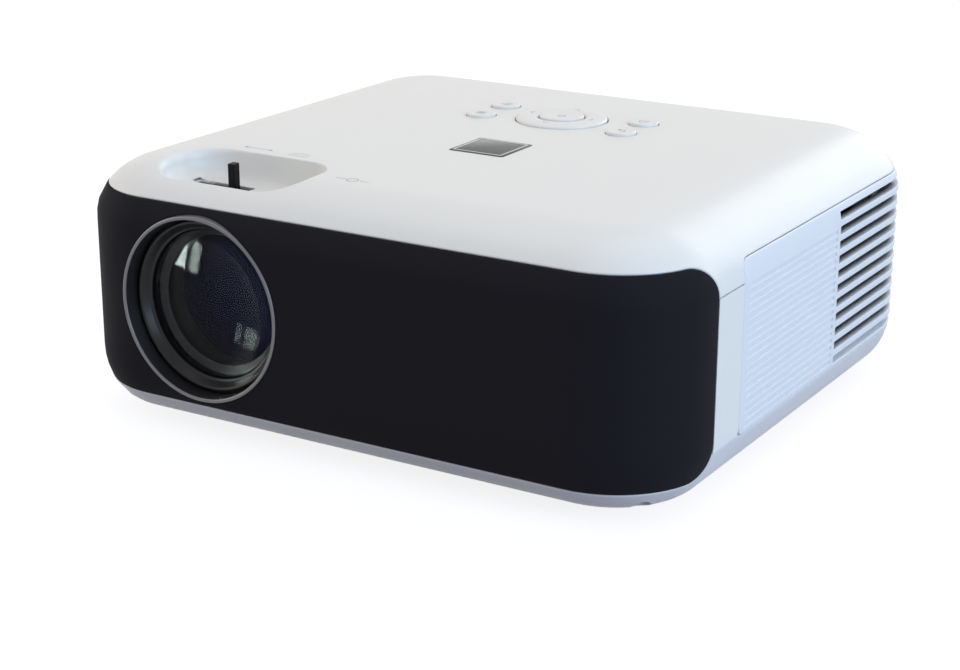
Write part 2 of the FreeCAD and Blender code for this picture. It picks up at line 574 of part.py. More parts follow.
# ---------------------------------------------------------------- lens and focus
def lens_tube():
    points = [
        (TUBE_BORE, TUBE_FRONT), (TUBE_R, TUBE_FRONT), (TUBE_R, TUBE_STEP), (NECK_R, TUBE_STEP),
        (NECK_R, CLIP_Y - 1), (NECK_R + 2.0, CLIP_Y - 1), (NECK_R + 2.0, CLIP_Y), (NECK_R, CLIP_Y),
        (NECK_R, TUBE_BACK), (NECK_BORE, TUBE_BACK), (NECK_BORE, TUBE_STEP - 1.5),
        (TUBE_BORE, TUBE_STEP - 1.5),
    ]
    tube = turned((LENS_X, LENS_Z), points)
    legs = [box(LENS_X + dx - 5, LENS_X + dx + 5, TUBE_BACK - 6, TUBE_BACK - 2, SKIN, LENS_Z - 18)
            for dx in (-17, 17)]
    bore = rod("y", (LENS_X, LENS_Z), NECK_BORE, TUBE_STEP - 3, TUBE_BACK + 2)
    reach = FOCUS_TRAVEL + FOCUS_PIN_R + 0.4
    groove = box(LENS_X - FOCUS_PIN_R - 0.3, LENS_X + FOCUS_PIN_R + 0.3, FOCUS_PIN_Y - reach,
                 FOCUS_PIN_Y + reach, LENS_Z - NECK_R - 2, LENS_Z - NECK_BORE + 4)
    return without(join(tube, *legs), bore, groove)


def lens_cell():
    points = [
        (CELL_R, CELL_FRONT), (CELL_R, CELL_STEP), (CELL_NECK_R, CELL_STEP), (CELL_NECK_R, CELL_BACK),
        (22.0, CELL_BACK), (22.0, REAR_GLASS_SEAT), (24.0, REAR_GLASS_SEAT), (24.0, MID_GLASS_SEAT),
        (26.0, MID_GLASS_SEAT), (26.0, GLASS_SEAT_Y), (GLASS_R + 0.05, GLASS_SEAT_Y),
        (GLASS_R + 0.05, GLASS_RIM_Y - 0.5), (GLASS_R + 0.7, GLASS_RIM_Y - 0.5),
        (CELL_R - 1.2, CELL_FRONT),
    ]
    cell = turned((LENS_X, LENS_Z), points)
    pin = rod("z", (LENS_X, FOCUS_PIN_Y), FOCUS_PIN_R, LENS_Z - FOCUS_SKIRT_R + 0.4,
              LENS_Z - CELL_NECK_R + 2)
    return join(cell, pin)


def dome(r, rise, rim_y, back_y):
    """A lens with one domed face towards the front."""
    sphere_r = (r * r + rise * rise) / (2 * rise)
    ball = Part.makeSphere(sphere_r, V(LENS_X, rim_y - rise + sphere_r, LENS_Z))
    return rod("y", (LENS_X, LENS_Z), r, rim_y - rise - 1, back_y).common(ball)


def rear_lenses():
    middle = dome(25.9, 2.4, MID_GLASS_SEAT - 4.0, MID_GLASS_SEAT)
    back = dome(23.9, 2.0, REAR_GLASS_SEAT - 4.0, REAR_GLASS_SEAT)
    return group(middle, back)


def focus_ring():
    points = [
        (FOCUS_RIM_BORE, FOCUS_FRONT), (FOCUS_RIM_R, FOCUS_FRONT), (FOCUS_RIM_R, FOCUS_WEB),
        (FOCUS_SKIRT_R, FOCUS_WEB), (FOCUS_SKIRT_R, FOCUS_BACK), (NECK_R + 0.08, FOCUS_BACK),
        (NECK_R + 0.08, FOCUS_WEB - 2), (FOCUS_RIM_BORE, FOCUS_WEB - 2),
    ]
    whole = turned((LENS_X, LENS_Z), points)
    axis_point, axis = V(LENS_X, 0, LENS_Z), V(0, 1, 0)
    tools = []
    for tooth in range(FOCUS_TEETH):
        notch = rod("y", (LENS_X, LENS_Z + FOCUS_RIM_R + 0.5), 1.3, FOCUS_FRONT - 1, FOCUS_WEB + 1)
        tools.append(spun(notch, tooth * 360 / FOCUS_TEETH, axis_point, axis))
    steps = 30
    for step in range(steps + 1):
        turn = FOCUS_TURN * (2 * step / steps - 1)
        y = FOCUS_PIN_Y + FOCUS_TRAVEL * turn / FOCUS_TURN
        hole = rod("z", (LENS_X, y), FOCUS_PIN_R + 0.5, LENS_Z - FOCUS_SKIRT_R - 2, LENS_Z - NECK_R + 4)
        tools.append(spun(hole, -turn, axis_point, axis))
    return without(whole, *tools)


# ---------------------------------------------------------------- keystone slider and mirror
def on_mirror(shape):
    """Places a shape that was made along X, at the origin, onto the mirror's 45 degree line."""
    turned_shape = spun(shape, 45, V(0, 0, 0), V(0, 0, 1))
    turned_shape.translate(V(MIRROR_X, MIRROR_Y, MIRROR_Z))
    return turned_shape


def cam_point(slide):
    """Where the mirror arm's pin stands, in the slider's own place, when the slider has moved."""
    turn = TILT_PER_MM * slide
    shift = (PLATE_HIGH - MIRROR_Z) / math.sqrt(2) * turn
    return CAM_X + shift - slide, CAM_Y - shift


def keystone_slider():
    plate = join(
        slab("z", (PLATE_LEFT, GUIDE_Y - 5), (PLATE_RIGHT, PLATE_BACK), 3, PLATE_LOW, PLATE_HIGH),
        slab("z", (LEVER_X - 10, PLATE_FRONT), (PLATE_RIGHT, PLATE_BACK), 3, PLATE_LOW, PLATE_HIGH),
    )
    half_x, half_y = LEVER_WIDE / 2, LEVER_DEEP / 2
    lever = slab("z", (LEVER_X - half_x, LEVER_Y - half_y), (LEVER_X + half_x, LEVER_Y + half_y),
                 0.6, PLATE_LOW, LEVER_TOP)
    lever = softened(lever, 0.4, flat_at(LEVER_TOP))
    r = GUIDE_R + 0.35
    guide = slab("z", (min(GUIDE_XS) - SLIDE_MAX - r, GUIDE_Y - r),
                 (max(GUIDE_XS) - SLIDE_MIN + r, GUIDE_Y + r), r - 0.01, PLATE_LOW - 1, PLATE_HIGH + 1)
    start, end = V(*cam_point(SLIDE_MIN), 0), V(*cam_point(SLIDE_MAX), 0)
    reach = CAM_PIN_R + 0.35
    run = end - start
    cam = slab("z", (-reach, -reach), (run.Length + reach, reach), reach - 0.01,
               PLATE_LOW - 1, PLATE_HIGH + 1)
    cam.rotate(V(0, 0, 0), V(0, 0, 1), math.degrees(math.atan2(run.y, run.x)))
    cam.translate(start)
    return without(join(plate, lever), guide, cam)


def mirror_holder():
    half = MIRROR_LONG / 2
    plate = box(-half, half, -1, 1, -MIRROR_TALL / 2 - 1, MIRROR_TALL / 2 + 1)
    ends = [box(s * (half + 1.9) - 1.6, s * (half + 1.9) + 1.6, -2.4, 2.4, -4, 4) for s in (-1, 1)]
    bars = [box(*sorted((s * (half - 4), s * (half + 1))), -1, 2.4, -4, 4) for s in (-1, 1)]
    pins = [rod("x", (0, 0), PIVOT_R, *sorted((s * (half + 2), s * PIVOT_END))) for s in (-1, 1)]
    stem = box(-4, 4, -1, 1, MIRROR_TALL / 2, ARM_HIGH - MIRROR_Z)
    holder = on_mirror(join(plate, *ends, *bars, *pins, stem))
    dx, dy = CAM_X - MIRROR_X, CAM_Y - MIRROR_Y
    arm = box(-3.5, math.hypot(dx, dy) + 2, -3, 3, ARM_LOW, ARM_HIGH)
    arm.rotate(V(0, 0, 0), V(0, 0, 1), math.degrees(math.atan2(dy, dx)))
    arm.translate(V(MIRROR_X, MIRROR_Y, 0))
    post = box(CAM_X - 2, CAM_X + 2, CAM_Y - 2, CAM_Y + 2, ARM_LOW, PLATE_LOW - 1)
    pin = rod("z", (CAM_X, CAM_Y), CAM_PIN_R, ARM_LOW, CAM_PIN_TOP)
    return join(holder, arm, post, pin)


def fold_mirror():
    half = MIRROR_LONG / 2 - 0.2
    return on_mirror(box(-half, half, -1 - MIRROR_THICK, -1, -MIRROR_TALL / 2, MIRROR_TALL / 2))


# ---------------------------------------------------------------- light engine
def optical_box():
    x0, x1, y0, y1, z0, z1 = ENGINE
    w = ENGINE_WALL
    whole = box(x0, x1, y0, y1, z0, z1).cut(box(x0 + w, x1 + 5, y0 + w, y1 - w, z0 + w, z1 - w))
    window = slab("y", (LENS_X - 25, 24.5), (LENS_X + 25, 60.5), 10, y0 - 1, y0 + w + 1)
    gap = on_mirror(box(-7, 7, -5, 5, 15, 40))
    bearings = []
    for s in (-1, 1):
        near, far = s * (PIVOT_END - 3.2), s * PIVOT_END
        bearings.append(on_mirror(box(min(near, far), max(near, far), -5, 5, z0 + 1 - MIRROR_Z, 5)))
    ledges = [box(x, x + 1.5, y0 + 1, y1 - 1, z0 + 1, z0 + 4) for x in LEDGE_XS]
    legs = [box(x - 4, x + 4, y - 4, y + 4, SKIN, z0 + 1) for x, y in LEG_PLACES]
    whole = join(without(whole, window, gap), *bearings, *ledges, *legs)
    return without(whole, on_mirror(rod("x", (0, 0), PIVOT_R + 0.06, -PIVOT_END - 1, PIVOT_END + 1)))


def sheet_across(x, thick, margin=0.5):
    """A sheet that stands across the light path."""
    y0, y1, z0, z1 = ENGINE[2:]
    w = ENGINE_WALL + margin
    return box(x, x + thick, y0 + w, y1 - w, z0 + 4, z1 - w)


def lcd_panel():
    frame = sheet_across(LCD_X, 3.0)
    middle_y, middle_z = (ENGINE[2] + ENGINE[3]) / 2, (ENGINE[4] + 4 + ENGINE[5] - 2) / 2
    window = box(LCD_X - 1, LCD_X + 4, middle_y - 34, middle_y + 34, middle_z - 18, middle_z + 18)
    glass = box(LCD_X + 1, LCD_X + 2, middle_y - 34, middle_y + 34, middle_z - 18, middle_z + 18)
    return group(frame.cut(window), glass)


def condenser_lens():
    y, z = LED_Y, LED_Z
    sphere_r = 34.0
    ball = Part.makeSphere(sphere_r, V(CONDENSER_X + sphere_r, y, z))
    return rod("x", (y, z), CONDENSER_R, CONDENSER_X - 1, CONDENSER_X + 9).common(ball)


def led_module():
    base = box(ENGINE[1] - 4, ENGINE[1] - 1, LED_Y - 22, LED_Y + 22, LED_Z - 20, LED_Z + 20)
    die = box(ENGINE[1] - 5.2, ENGINE[1] - 4, LED_Y - 6, LED_Y + 6, LED_Z - 6, LED_Z + 6)
    return join(base, die)


def heat_sink():
    x0, x1, y0, y1, z0, z1 = SINK
    base = box(x0, x0 + 4, y0, y1, z0, z1)
    fins = [box(x0 + 3, x1, y, y + 1.2, z0, z1) for y in frange(y0, y1 - 1.2, 4.4)]
    return join(base, *fins)


def frange(start, end, step):
    count = int((end - start) / step + 0.5)
    return [start + (end - start) * k / count for k in range(count + 1)]


# ---------------------------------------------------------------- fans, speakers, boards
def fan_frame(x0, x1, y, z, side, bore):
    """A square fan frame with a hub plate on three spokes; the air goes along X."""
    half = side / 2
    block = slab("x", (y - half, z - half), (y + half, z + half), 3, x0, x1)
    holes = [rod("x", (y + sy * (half - 4), z + sz * (half - 4)), 1.8, x0 - 1, x1 + 1)
             for sy in (-1, 1)
             for sz in (-1, 1)]
    block = without(block, rod("x", (y, z), bore, x0 - 1, x1 + 1), *holes)
    hub = rod("x", (y, z), FAN_HUB_R, x0, x0 + 1.6)
    spokes = []
    for turn in (0, 120, 240):
        spoke = box(x0, x0 + 1.6, y - 1.2, y + 1.2, z + FAN_HUB_R - 2, z + bore + 1)
        spokes.append(spun(spoke, turn, V(0, y, z), V(1, 0, 0)))
    pin = rod("x", (y, z), FAN_PIN_R, x0, x1 - 4)
    return join(block, hub, *spokes, pin)


def fan_impeller(x0, x1, y, z, tip):
    """A hub cup with seven twisted blades."""
    hub = rod("x", (y, z), FAN_HUB_R, x0, x1)
    middle = (x0 + x1) / 2
    blades = []
    for blade in range(7):
        flat = box(middle - 0.5, middle + 0.5, y - 5.5, y + 5.5, z + FAN_HUB_R - 1.5, z + tip)
        flat.rotate(V(middle, y, z + FAN_HUB_R), V(0, 0, 1), 38)
        blades.append(spun(flat, blade * 360 / 7, V(0, y, z), V(1, 0, 0)))
    whole = join(hub, *blades)
    whole = whole.common(rod("x", (y, z), tip, x0, x1))
    return without(whole, rod("x", (y, z), FAN_PIN_R + 0.08, x0 - 1, x1 - 1.5))


def speaker(face_x, way, y, z, r):
    """A driver whose cone faces the side wall; way is 1 when it faces +X."""
    x = lambda depth: face_x - way * depth
    span = lambda a, b: (min(x(a), x(b)), max(x(a), x(b)))
    plate = slab("x", (y - r - 3, z - r - 3), (y + r + 3, z + r + 3), 5, *span(0, 2.5))
    basket = Part.makeCone(r, r * 0.45, 11, V(x(2.5), y, z), V(-way, 0, 0))
    magnet = rod("x", (y, z), r * 0.55, *span(13, 21))
    dish = Part.makeCone(r - 2, r * 0.35, 9, V(x(0), y, z), V(-way, 0, 0))
    cap = Part.makeSphere(r * 0.3, V(x(9), y, z))
    return join(without(join(plate, basket, magnet), dish), cap)


def speakers():
    right = speaker(RIGHT - 6.5, 1, -22, 45, 22)
    left = speaker(-RIGHT + 6.5, -1, -52, 36, 20)
    return group(right, left)


def power_board_holes():
    return [(x, y) for x in (-82, 46) for y in (46, 100)]


def main_board_holes():
    return [(x, y) for x in (-92, 56) for y in (38, 108)]


def power_board():
    z = POWER_BOARD_Z
    plate = box(-86, 50, 42, 104, z, z + 1.6)
    top = z + 1.6
    parts = [
        box(-40, -12, 50, 76, top, top + 24), rod("z", (4, 60), 11, top, top + 30),
        box(18, 42, 50, 54, top, top + 26), box(-74, -56, 52, 66, top, top + 18),
        rod("z", (-2, 90), 5, top, top + 16), rod("z", (14, 90), 5, top, top + 16),
        box(24, 44, 84, 98, top, top + 12),
    ]
    return join(plate, *parts)


def main_board():
    z = MAIN_BOARD_Z
    plate = box(-98, 62, 32, 113, z, z + 1.6)
    top = z + 1.6
    parts = [
        box(-20, 8, 50, 78, top, top + 1.8), box(-18, 6, 52, 76, top + 1.8, top + 7),
        box(-60, -44, 54, 66, top, top + 1.2), box(-60, -44, 72, 84, top, top + 1.2),
        box(24, 50, 44, 50, top, top + 6), rod("z", (40, 66), 4, top, top + 7),
    ]
    return join(plate, *parts)


def keypad_board():
    z1 = KEYBOARD_TOP
    plate = slab("z", (KEYS_X - 46, KEYS_Y - 25), (KEYS_X + 46, KEYS_Y + 25), 3, z1 - 1.6, z1)
    return plate


def rear_openings():
    """Centre and size of each square-cornered opening in the rear panel: x, z, width, height."""
    return [
        (INLET_X, INLET_Z, INLET_W, INLET_H),
        (HDMI_X, SOCKET_Z, 15.6, 6.2),
        (USB_X, SOCKET_Z, 14.2, 7.2),
        (VGA_X, SOCKET_Z + 1, 31.0, 12.6),
        (CARD_X, SOCKET_Z, 25.0, 3.4),
    ]


def power_inlet():
    y0, y1 = REAR_Y - 18, REAR_Y - 0.2
    body = slab("y", (INLET_X - INLET_W / 2, INLET_Z - INLET_H / 2),
                (INLET_X + INLET_W / 2, INLET_Z + INLET_H / 2), 1.5, y0, y1)
    lobes = [rod("y", (INLET_X + s * 4.3, INLET_Z), 5.2, y1 - 12, y1 + 1) for s in (-1, 1)]
    middle = box(INLET_X - 4.3, INLET_X + 4.3, y1 - 12, y1 + 1, INLET_Z - 4.6, INLET_Z + 4.6)
    pins = [rod("y", (INLET_X + s * 4.3, INLET_Z), 1.2, y1 - 13, y1 - 2.5) for s in (-1, 1)]
    return join(without(body, *lobes, middle), *pins)


def rear_sockets():
    y1 = REAR_Y - 0.2
    z = SOCKET_Z

    def socket(x, z, w, h, deep):
        return slab("y", (x - w / 2, z - h / 2), (x + w / 2, z + h / 2), 0.7, y1 - deep, y1)

    def hollow(x, z, w, h, deep):
        return box(x - w / 2, x + w / 2, y1 - deep, y1 + 1, z - h / 2, z + h / 2)

    hdmi = join(without(socket(HDMI_X, z, 15.2, 5.8, 12), hollow(HDMI_X, z, 14.0, 4.6, 9)),
                box(HDMI_X - 5.4, HDMI_X + 5.4, y1 - 10, y1 - 1.5, z - 0.2, z + 0.7))
    usb = join(without(socket(USB_X, z, 13.8, 6.8, 14), hollow(USB_X, z, 12.5, 5.2, 11)),
               box(USB_X - 5.6, USB_X + 5.6, y1 - 12, y1 - 1.5, z + 0.3, z + 2.0))
    back = y1 - VGA_SINK
    plate = slab("y", (VGA_X - 15.3, z - 5.1), (VGA_X + 15.3, z + 7.1), 0.7, back - 8, back)
    shell = slab("y", (VGA_X - 8.2, z - 2.9), (VGA_X + 8.2, z + 4.9), 2.2, back - 4, back + 4.6)
    face = slab("y", (VGA_X - 7.5, z - 2.2), (VGA_X + 7.5, z + 4.2), 1.8, back + 2.6, back + 6)
    nuts = [rod("y", (VGA_X + s * 12.4, z + 1), 2.5, back - 1, back + 3.6) for s in (-1, 1)]
    threads = [rod("y", (VGA_X + s * 12.4, z + 1), 1.3, back - 4, back + 5) for s in (-1, 1)]
    pins = [rod("y", (VGA_X - 5 + 2.5 * column + shift, z + height), 0.45, back + 1, back + 3)
            for height, shift in ((3, 0), (1, 0.6), (-1, 0))
            for column in range(5)]
    vga = without(join(plate, shell.cut(face), *nuts), *threads, *pins)
    card = without(socket(CARD_X, z, 24.6, 3.0, 26), hollow(CARD_X, z, 23.8, 2.2, 24))
    jacks = []
    for x in JACK_XS:
        block = box(x - 3.5, x + 3.5, y1 - 14, y1 - 2.6, z - 3.5, z + 3.5)
        collar = rod("y", (x, z), JACK_R, y1 - 3, y1)
        jacks.append(without(join(block, collar), rod("y", (x, z), JACK_BORE, y1 - 13, y1 + 1)))
    return group(hdmi, usb, vga, card, *jacks)


def ir_window():
    flat = rod("y", (IR_X, IR_Z), IR_R, REAR_Y - 6, REAR_Y - 0.3)
    return softened(flat, 0.5, lambda e: e.BoundBox.YMin > REAR_Y - 0.4)


# ---------------------------------------------------------------- disc drive
def drive_case():
    x0, x1, y0, y1, z0, z1 = DRIVE
    top = z1 - LID_THICK
    outside = box(x0, x1, y0, y1, z0, top)
    inside = box(x0 - 1, x1 - SHEET, y0 + SHEET, y1 - SHEET, z0 + SHEET, top + 1)
    ears = [box(x, x + 12, y, y + 6, z0, z0 + SHEET) for x in (-118, -30) for y in (y0 - 5.5, y1 - 0.5)]
    vents = [slab("z", (x, -6), (x + 5, 26), 2, z0 - 1, z0 + 2) for x in range(-60, -15, 12)]
    return without(join(outside.cut(inside), *ears), *vents)


def drive_lid():
    z1 = DRIVE[5]
    plate = box(*DRIVE[:4], z1 - LID_THICK, z1)
    ridge = ring("z", (HUB_X, HUB_Y), 36, 40, z1 - 0.1, z1 + 0.5)
    return join(plate, ridge)


def along_pickup(shape):
    """Places a shape that was made along X from the origin onto the pickup's line."""
    placed = spun(shape, PICKUP_ANGLE, V(0, 0, 0), V(0, 0, 1))
    placed.translate(V(HUB_X, HUB_Y, 0))
    return placed


def disc_tray():
    x0, x1 = -RIGHT + SKIN, TRAY_END
    y0, y1 = HUB_Y - TRAY_HALF, HUB_Y + TRAY_HALF
    deck = box(x0, x1, y0, y1, DECK_LOW, TRAY_TOP)
    skirts = [
        box(x0, x0 + 2, y0, y1, TRAY_LOW, DECK_LOW),
        box(x1 - 1.6, x1, y0, y1, TRAY_LOW, DECK_LOW),
        box(x0, x1, y0, y0 + 1.4, TRAY_LOW, DECK_LOW),
        box(x0, x1, y1 - 1.4, y1, TRAY_LOW, DECK_LOW),
    ]
    whole = join(deck, *skirts)
    disc = rod("z", (HUB_X, HUB_Y), DISC_R, DISC_FLOOR, TRAY_TOP + 1)
    well = rod("z", (HUB_X, HUB_Y), 14.0, DECK_LOW - 1, TRAY_TOP + 1)
    far = SLED_HOME + SLED_TRAVEL + SLED_LONG / 2 + 2
    window = along_pickup(box(10, far, -11, 11, DECK_LOW - 1, TRAY_TOP + 1))
    thumb = rod("z", (HUB_X + DISC_R * 0.98, HUB_Y), 9.5, DISC_FLOOR - 0.6, TRAY_TOP + 1)
    button = box(x0 - 1, x0 + 3.2, EJECT_Y - EJECT_LONG / 2 - 1, EJECT_Y + EJECT_LONG / 2 + 1,
                 EJECT_Z - EJECT_TALL / 2 - 0.8, TRAY_TOP + 1)
    pin_way = rod("x", (EJECT_Y - 14, EJECT_Z), 0.7, x0 - 1, x0 + 3)
    return without(whole, disc, well, window, button, pin_way, thumb)


def tray_bezel(skin):
    whole = skin.common(drive_door_region(0))
    half_y, half_z = EJECT_LONG / 2 + 0.3, EJECT_TALL / 2 + 0.3
    hole = slab("x", (EJECT_Y - half_y, EJECT_Z - half_z), (EJECT_Y + half_y, EJECT_Z + half_z), 1.6,
                -RIGHT - 2, -RIGHT + 6)
    return without(whole, hole, rod("x", (EJECT_Y - 14, EJECT_Z), 0.7, -RIGHT - 2, -RIGHT + 6))


def eject_button():
    half_y, half_z = EJECT_LONG / 2, EJECT_TALL / 2
    cap = slab("x", (EJECT_Y - half_y, EJECT_Z - half_z), (EJECT_Y + half_y, EJECT_Z + half_z), 1.4,
               -RIGHT - 0.3, -RIGHT + 4.4)
    return softened(cap, 0.35, lambda e: e.BoundBox.XMax < -RIGHT - 0.2)


def tray_rails():
    parts = []
    for s in (-1, 1):
        near = HUB_Y + s * (TRAY_HALF + 0.35)
        far = near + s * RAIL_THICK
        parts.append(box(-130.5, -12, min(near, far), max(near, far), RAIL_LOW, RAIL_HIGH))
    return parts


def drive_motors():
    spindle = ring("z", (HUB_X, HUB_Y), 1.6, 12.0, TRAY_LOW + 0.2, DECK_LOW + 0.5)
    start = SLED_HOME + SLED_TRAVEL + SLED_LONG / 2 + 2
    stepper = along_pickup(rod("x", (-7.5, ROD_Z), 1.9, start, start + 9))
    bracket = along_pickup(box(start - 1.0, start, -10.5, 10.5, ROD_Z - 1.6, ROD_Z + 1.9))
    inner = SLED_HOME - SLED_LONG / 2 - 2.6
    near = along_pickup(box(inner, inner + 1.0, -10.5, 10.5, ROD_Z - 1.6, ROD_Z + 1.9))
    holes = [along_pickup(rod("x", (w, ROD_Z), r, 5, start + 0.01))
             for w, r in ((-7.5, 1.1), (-3.6, 0.8), (8, 0.8))]
    spindle = spindle.cut(along_pickup(box(11, 20, -11, 11, 60, 90)))
    return group(spindle, stepper, *[p for part in (bracket, near) for p in without(part, *holes).Solids])


def guide_rods():
    start, end = SLED_HOME - SLED_LONG / 2 - 2.6, SLED_HOME + SLED_TRAVEL + SLED_LONG / 2 + 2
    return group(*[along_pickup(rod("x", (w, ROD_Z), 0.8, start, end)) for w in (-3.6, 8)])


def lead_screw():
    start, end = SLED_HOME - SLED_LONG / 2 - 2.6, SLED_HOME + SLED_TRAVEL + SLED_LONG / 2 + 1.9
    core = rod("x", (-7.5, ROD_Z), 0.7, start + 1.2, end)
    flights = [rod("x", (-7.5, ROD_Z), 1.0, x, x + 0.9) for x in frange(start + 2, end - 3, 1.8)]
    return along_pickup(join(core, *flights))


def pickup_sled():
    half = SLED_LONG / 2
    body = box(SLED_HOME - half, SLED_HOME + half, -6.0, 10.0, ROD_Z - 1.5, ROD_Z + 1.6)
    holes = [rod("x", (w, ROD_Z), 0.86, 5, 60) for w in (-3.6, 8)]
    seat = rod("z", (SLED_HOME, 2), 3.2, ROD_Z + 0.6, ROD_Z + 4)
    return along_pickup(without(body, *holes, seat))


def pickup_lens():
    ball = Part.makeSphere(4.0, V(SLED_HOME, 2, ROD_Z - 1.6))
    return along_pickup(rod("z", (SLED_HOME, 2), 2.6, ROD_Z + 0.6, ROD_Z + 4).common(ball))


def turntable():
    hub = (HUB_X, HUB_Y)
    table = rod("z", hub, 12.8, DECK_LOW + 1.0, DISC_FLOOR + 0.6)
    boss = Part.makeCone(7.4, 6.4, 1.8, V(HUB_X, HUB_Y, DISC_FLOOR + 0.6))
    shaft = rod("z", hub, 1.5, TRAY_LOW + 0.8, DECK_LOW + 1.2)
    return join(table, boss, shaft)


# ---------------------------------------------------------------- keys and screw foot
def nav_ring():
    outer = ring("z", (KEYS_X, KEYS_Y), NAV_BORE, NAV_R, NAV_LOW, NAV_TOP)
    outer = softened(outer, 0.7, flat_at(NAV_TOP))
    flange = ring("z", (KEYS_X, KEYS_Y), NAV_BORE, NAV_FLANGE_R, NAV_LOW, NAV_FLANGE_TOP)
    return join(outer, flange)


def nav_web():
    return ring("z", (KEYS_X, KEYS_Y), NAV_BORE + 1, NAV_R - 2.5, KEYBOARD_TOP + 1.2, NAV_LOW - 0.8)


def plunger(place, r, top, flange):
    stem = softened(rod("z", place, r, KEYBOARD_TOP + 0.8, top), 0.7, flat_at(top))
    rim = rod("z", place, r + flange, NAV_LOW + 0.4, NAV_FLANGE_TOP + 0.2)
    return join(stem, rim) if flange else stem


def foot_screw():
    place = (0, SCREW_FOOT_Y)
    knob = rod("z", place, SCREW_FOOT_R, SOLE_TOP + 0.2, -0.4)
    tools = []
    for notch in range(24):
        cut = rod("z", (0, SCREW_FOOT_Y + SCREW_FOOT_R + 0.4), 1.0, SOLE_TOP, 0)
        tools.append(spun(cut, notch * 15, V(0, SCREW_FOOT_Y, 0), V(0, 0, 1)))
    stem = rod("z", place, SCREW_FOOT_STEM, -0.5, SCREW_TOP)
    whole = without(knob, *tools)
    whole = join(whole, stem)
    return without(whole, rod("z", place, SOLE_PIN_R + 0.06, SOLE_TOP - 1, SOLE_TOP + 2.2))


def foot_pad():
    place = (0, SCREW_FOOT_Y)
    sole = rod("z", place, SCREW_FOOT_R - 0.5, -FOOT_HEIGHT, SOLE_TOP)
    return join(sole, rod("z", place, SOLE_PIN_R, SOLE_TOP - 0.5, SOLE_TOP + 1.8))


# ---------------------------------------------------------------- build
def main():
    os.makedirs("parts", exist_ok=True)
    outer = pillow()
    skin = outer.cut(pillow(SKIN))
    right_side, left_side = side_panels(skin)
    save("top_cover", top_cover(skin))
    save("pocket_tub", pocket_tub(outer))
    save("bottom_cover", bottom_cover(skin))
    sides, front_frame, rear_frame = chassis()
    save("chassis_band", sides)
    save("front_frame", front_frame)
    save("rear_frame", rear_frame)
    save("front_panel", front_panel(skin))
    save("right_side_panel", right_side)
    save("left_side_panel", left_side)
    for name, shape in zip(("rear_panel", "socket_plate", "inlet_plate"), rear_panels(skin)):
        save(name, shape)
    save("badge_plate", badge_plate())
    save("lens_trim_ring", lens_trim_ring())
    save("case_screws", case_screws())
    save("threaded_inserts", threaded_inserts())
    save("rubber_feet", rubber_feet())
    save("lens_tube", lens_tube())
    save("lens_cell", lens_cell())
    save("front_lens", dome(GLASS_R, GLASS_DOME, GLASS_RIM_Y, GLASS_SEAT_Y))
    save("rear_lenses", rear_lenses())
    save("focus_ring", focus_ring())
    save("keystone_slider", keystone_slider())
    save("mirror_holder", mirror_holder())
    save("fold_mirror", fold_mirror())
    save("optical_box", optical_box())
    save("lcd_panel", lcd_panel())
    save("fresnel_lenses", group(*[sheet_across(x, 1.5) for x in FRESNEL_XS]))
    save("lamp_glasses", group(sheet_across(HEAT_GLASS_X, 1.1), condenser_lens()))
    save("led_module", led_module())
    save("heat_sink", heat_sink())
    save("fan_frames", group(fan_frame(*EXHAUST, 60, 28.5), fan_frame(*INTAKE, 50, 23.5)))
    save("exhaust_impeller", fan_impeller(EXHAUST[0] + 2.2, EXHAUST[1] - 0.8, *EXHAUST[2:], 27.6))
    save("intake_impeller", fan_impeller(INTAKE[0] + 2.2, INTAKE[1] - 0.6, *INTAKE[2:], 22.6))
    save("speakers", speakers())
    save("circuit_boards", group(power_board(), main_board(), keypad_board()))
    save("power_inlet", power_inlet())
    save("rear_sockets", rear_sockets())
    save("ir_window", ir_window())
    save("drive_case", drive_case())
    save("drive_lid", drive_lid())
    save("disc_tray", disc_tray())
    save("tray_bezel", tray_bezel(skin))
    save("eject_button", eject_button())
    save("tray_rails", group(*tray_rails()))
    save("drive_motors", drive_motors())
    save("guide_rods", guide_rods())
    save("lead_screw", lead_screw())
    save("pickup_sled", pickup_sled())
    save("pickup_lens", pickup_lens())
    save("turntable", turntable())
    save("nav_ring", nav_ring())
    save("nav_web", nav_web())
    save("ok_button", plunger((KEYS_X, KEYS_Y), OK_R, OK_TOP, 0))
    for name, place in key_places().items():
        save(name, plunger(place, KEY_R, KEY_TOP, 1.0))
    save("foot_screw", foot_screw())
    save("foot_pad", foot_pad())


main()
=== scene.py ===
# %% [markdown]
# # A tabletop projector with a built-in disc player
# The CAD frame holds every part at its real size.  This lesson dresses it: new skins for the
# moulded shell, turned metal and glass for the lens, and a finish for every part that shows.
# Everything is in metres.  +Z is up, -Y is the front and +X is the side with the exhaust vents.
# %% Load the frame
import bisect
import math

import bmesh
import bpy
from mathutils import Matrix, Vector
from mathutils.geometry import delaunay_2d_cdt


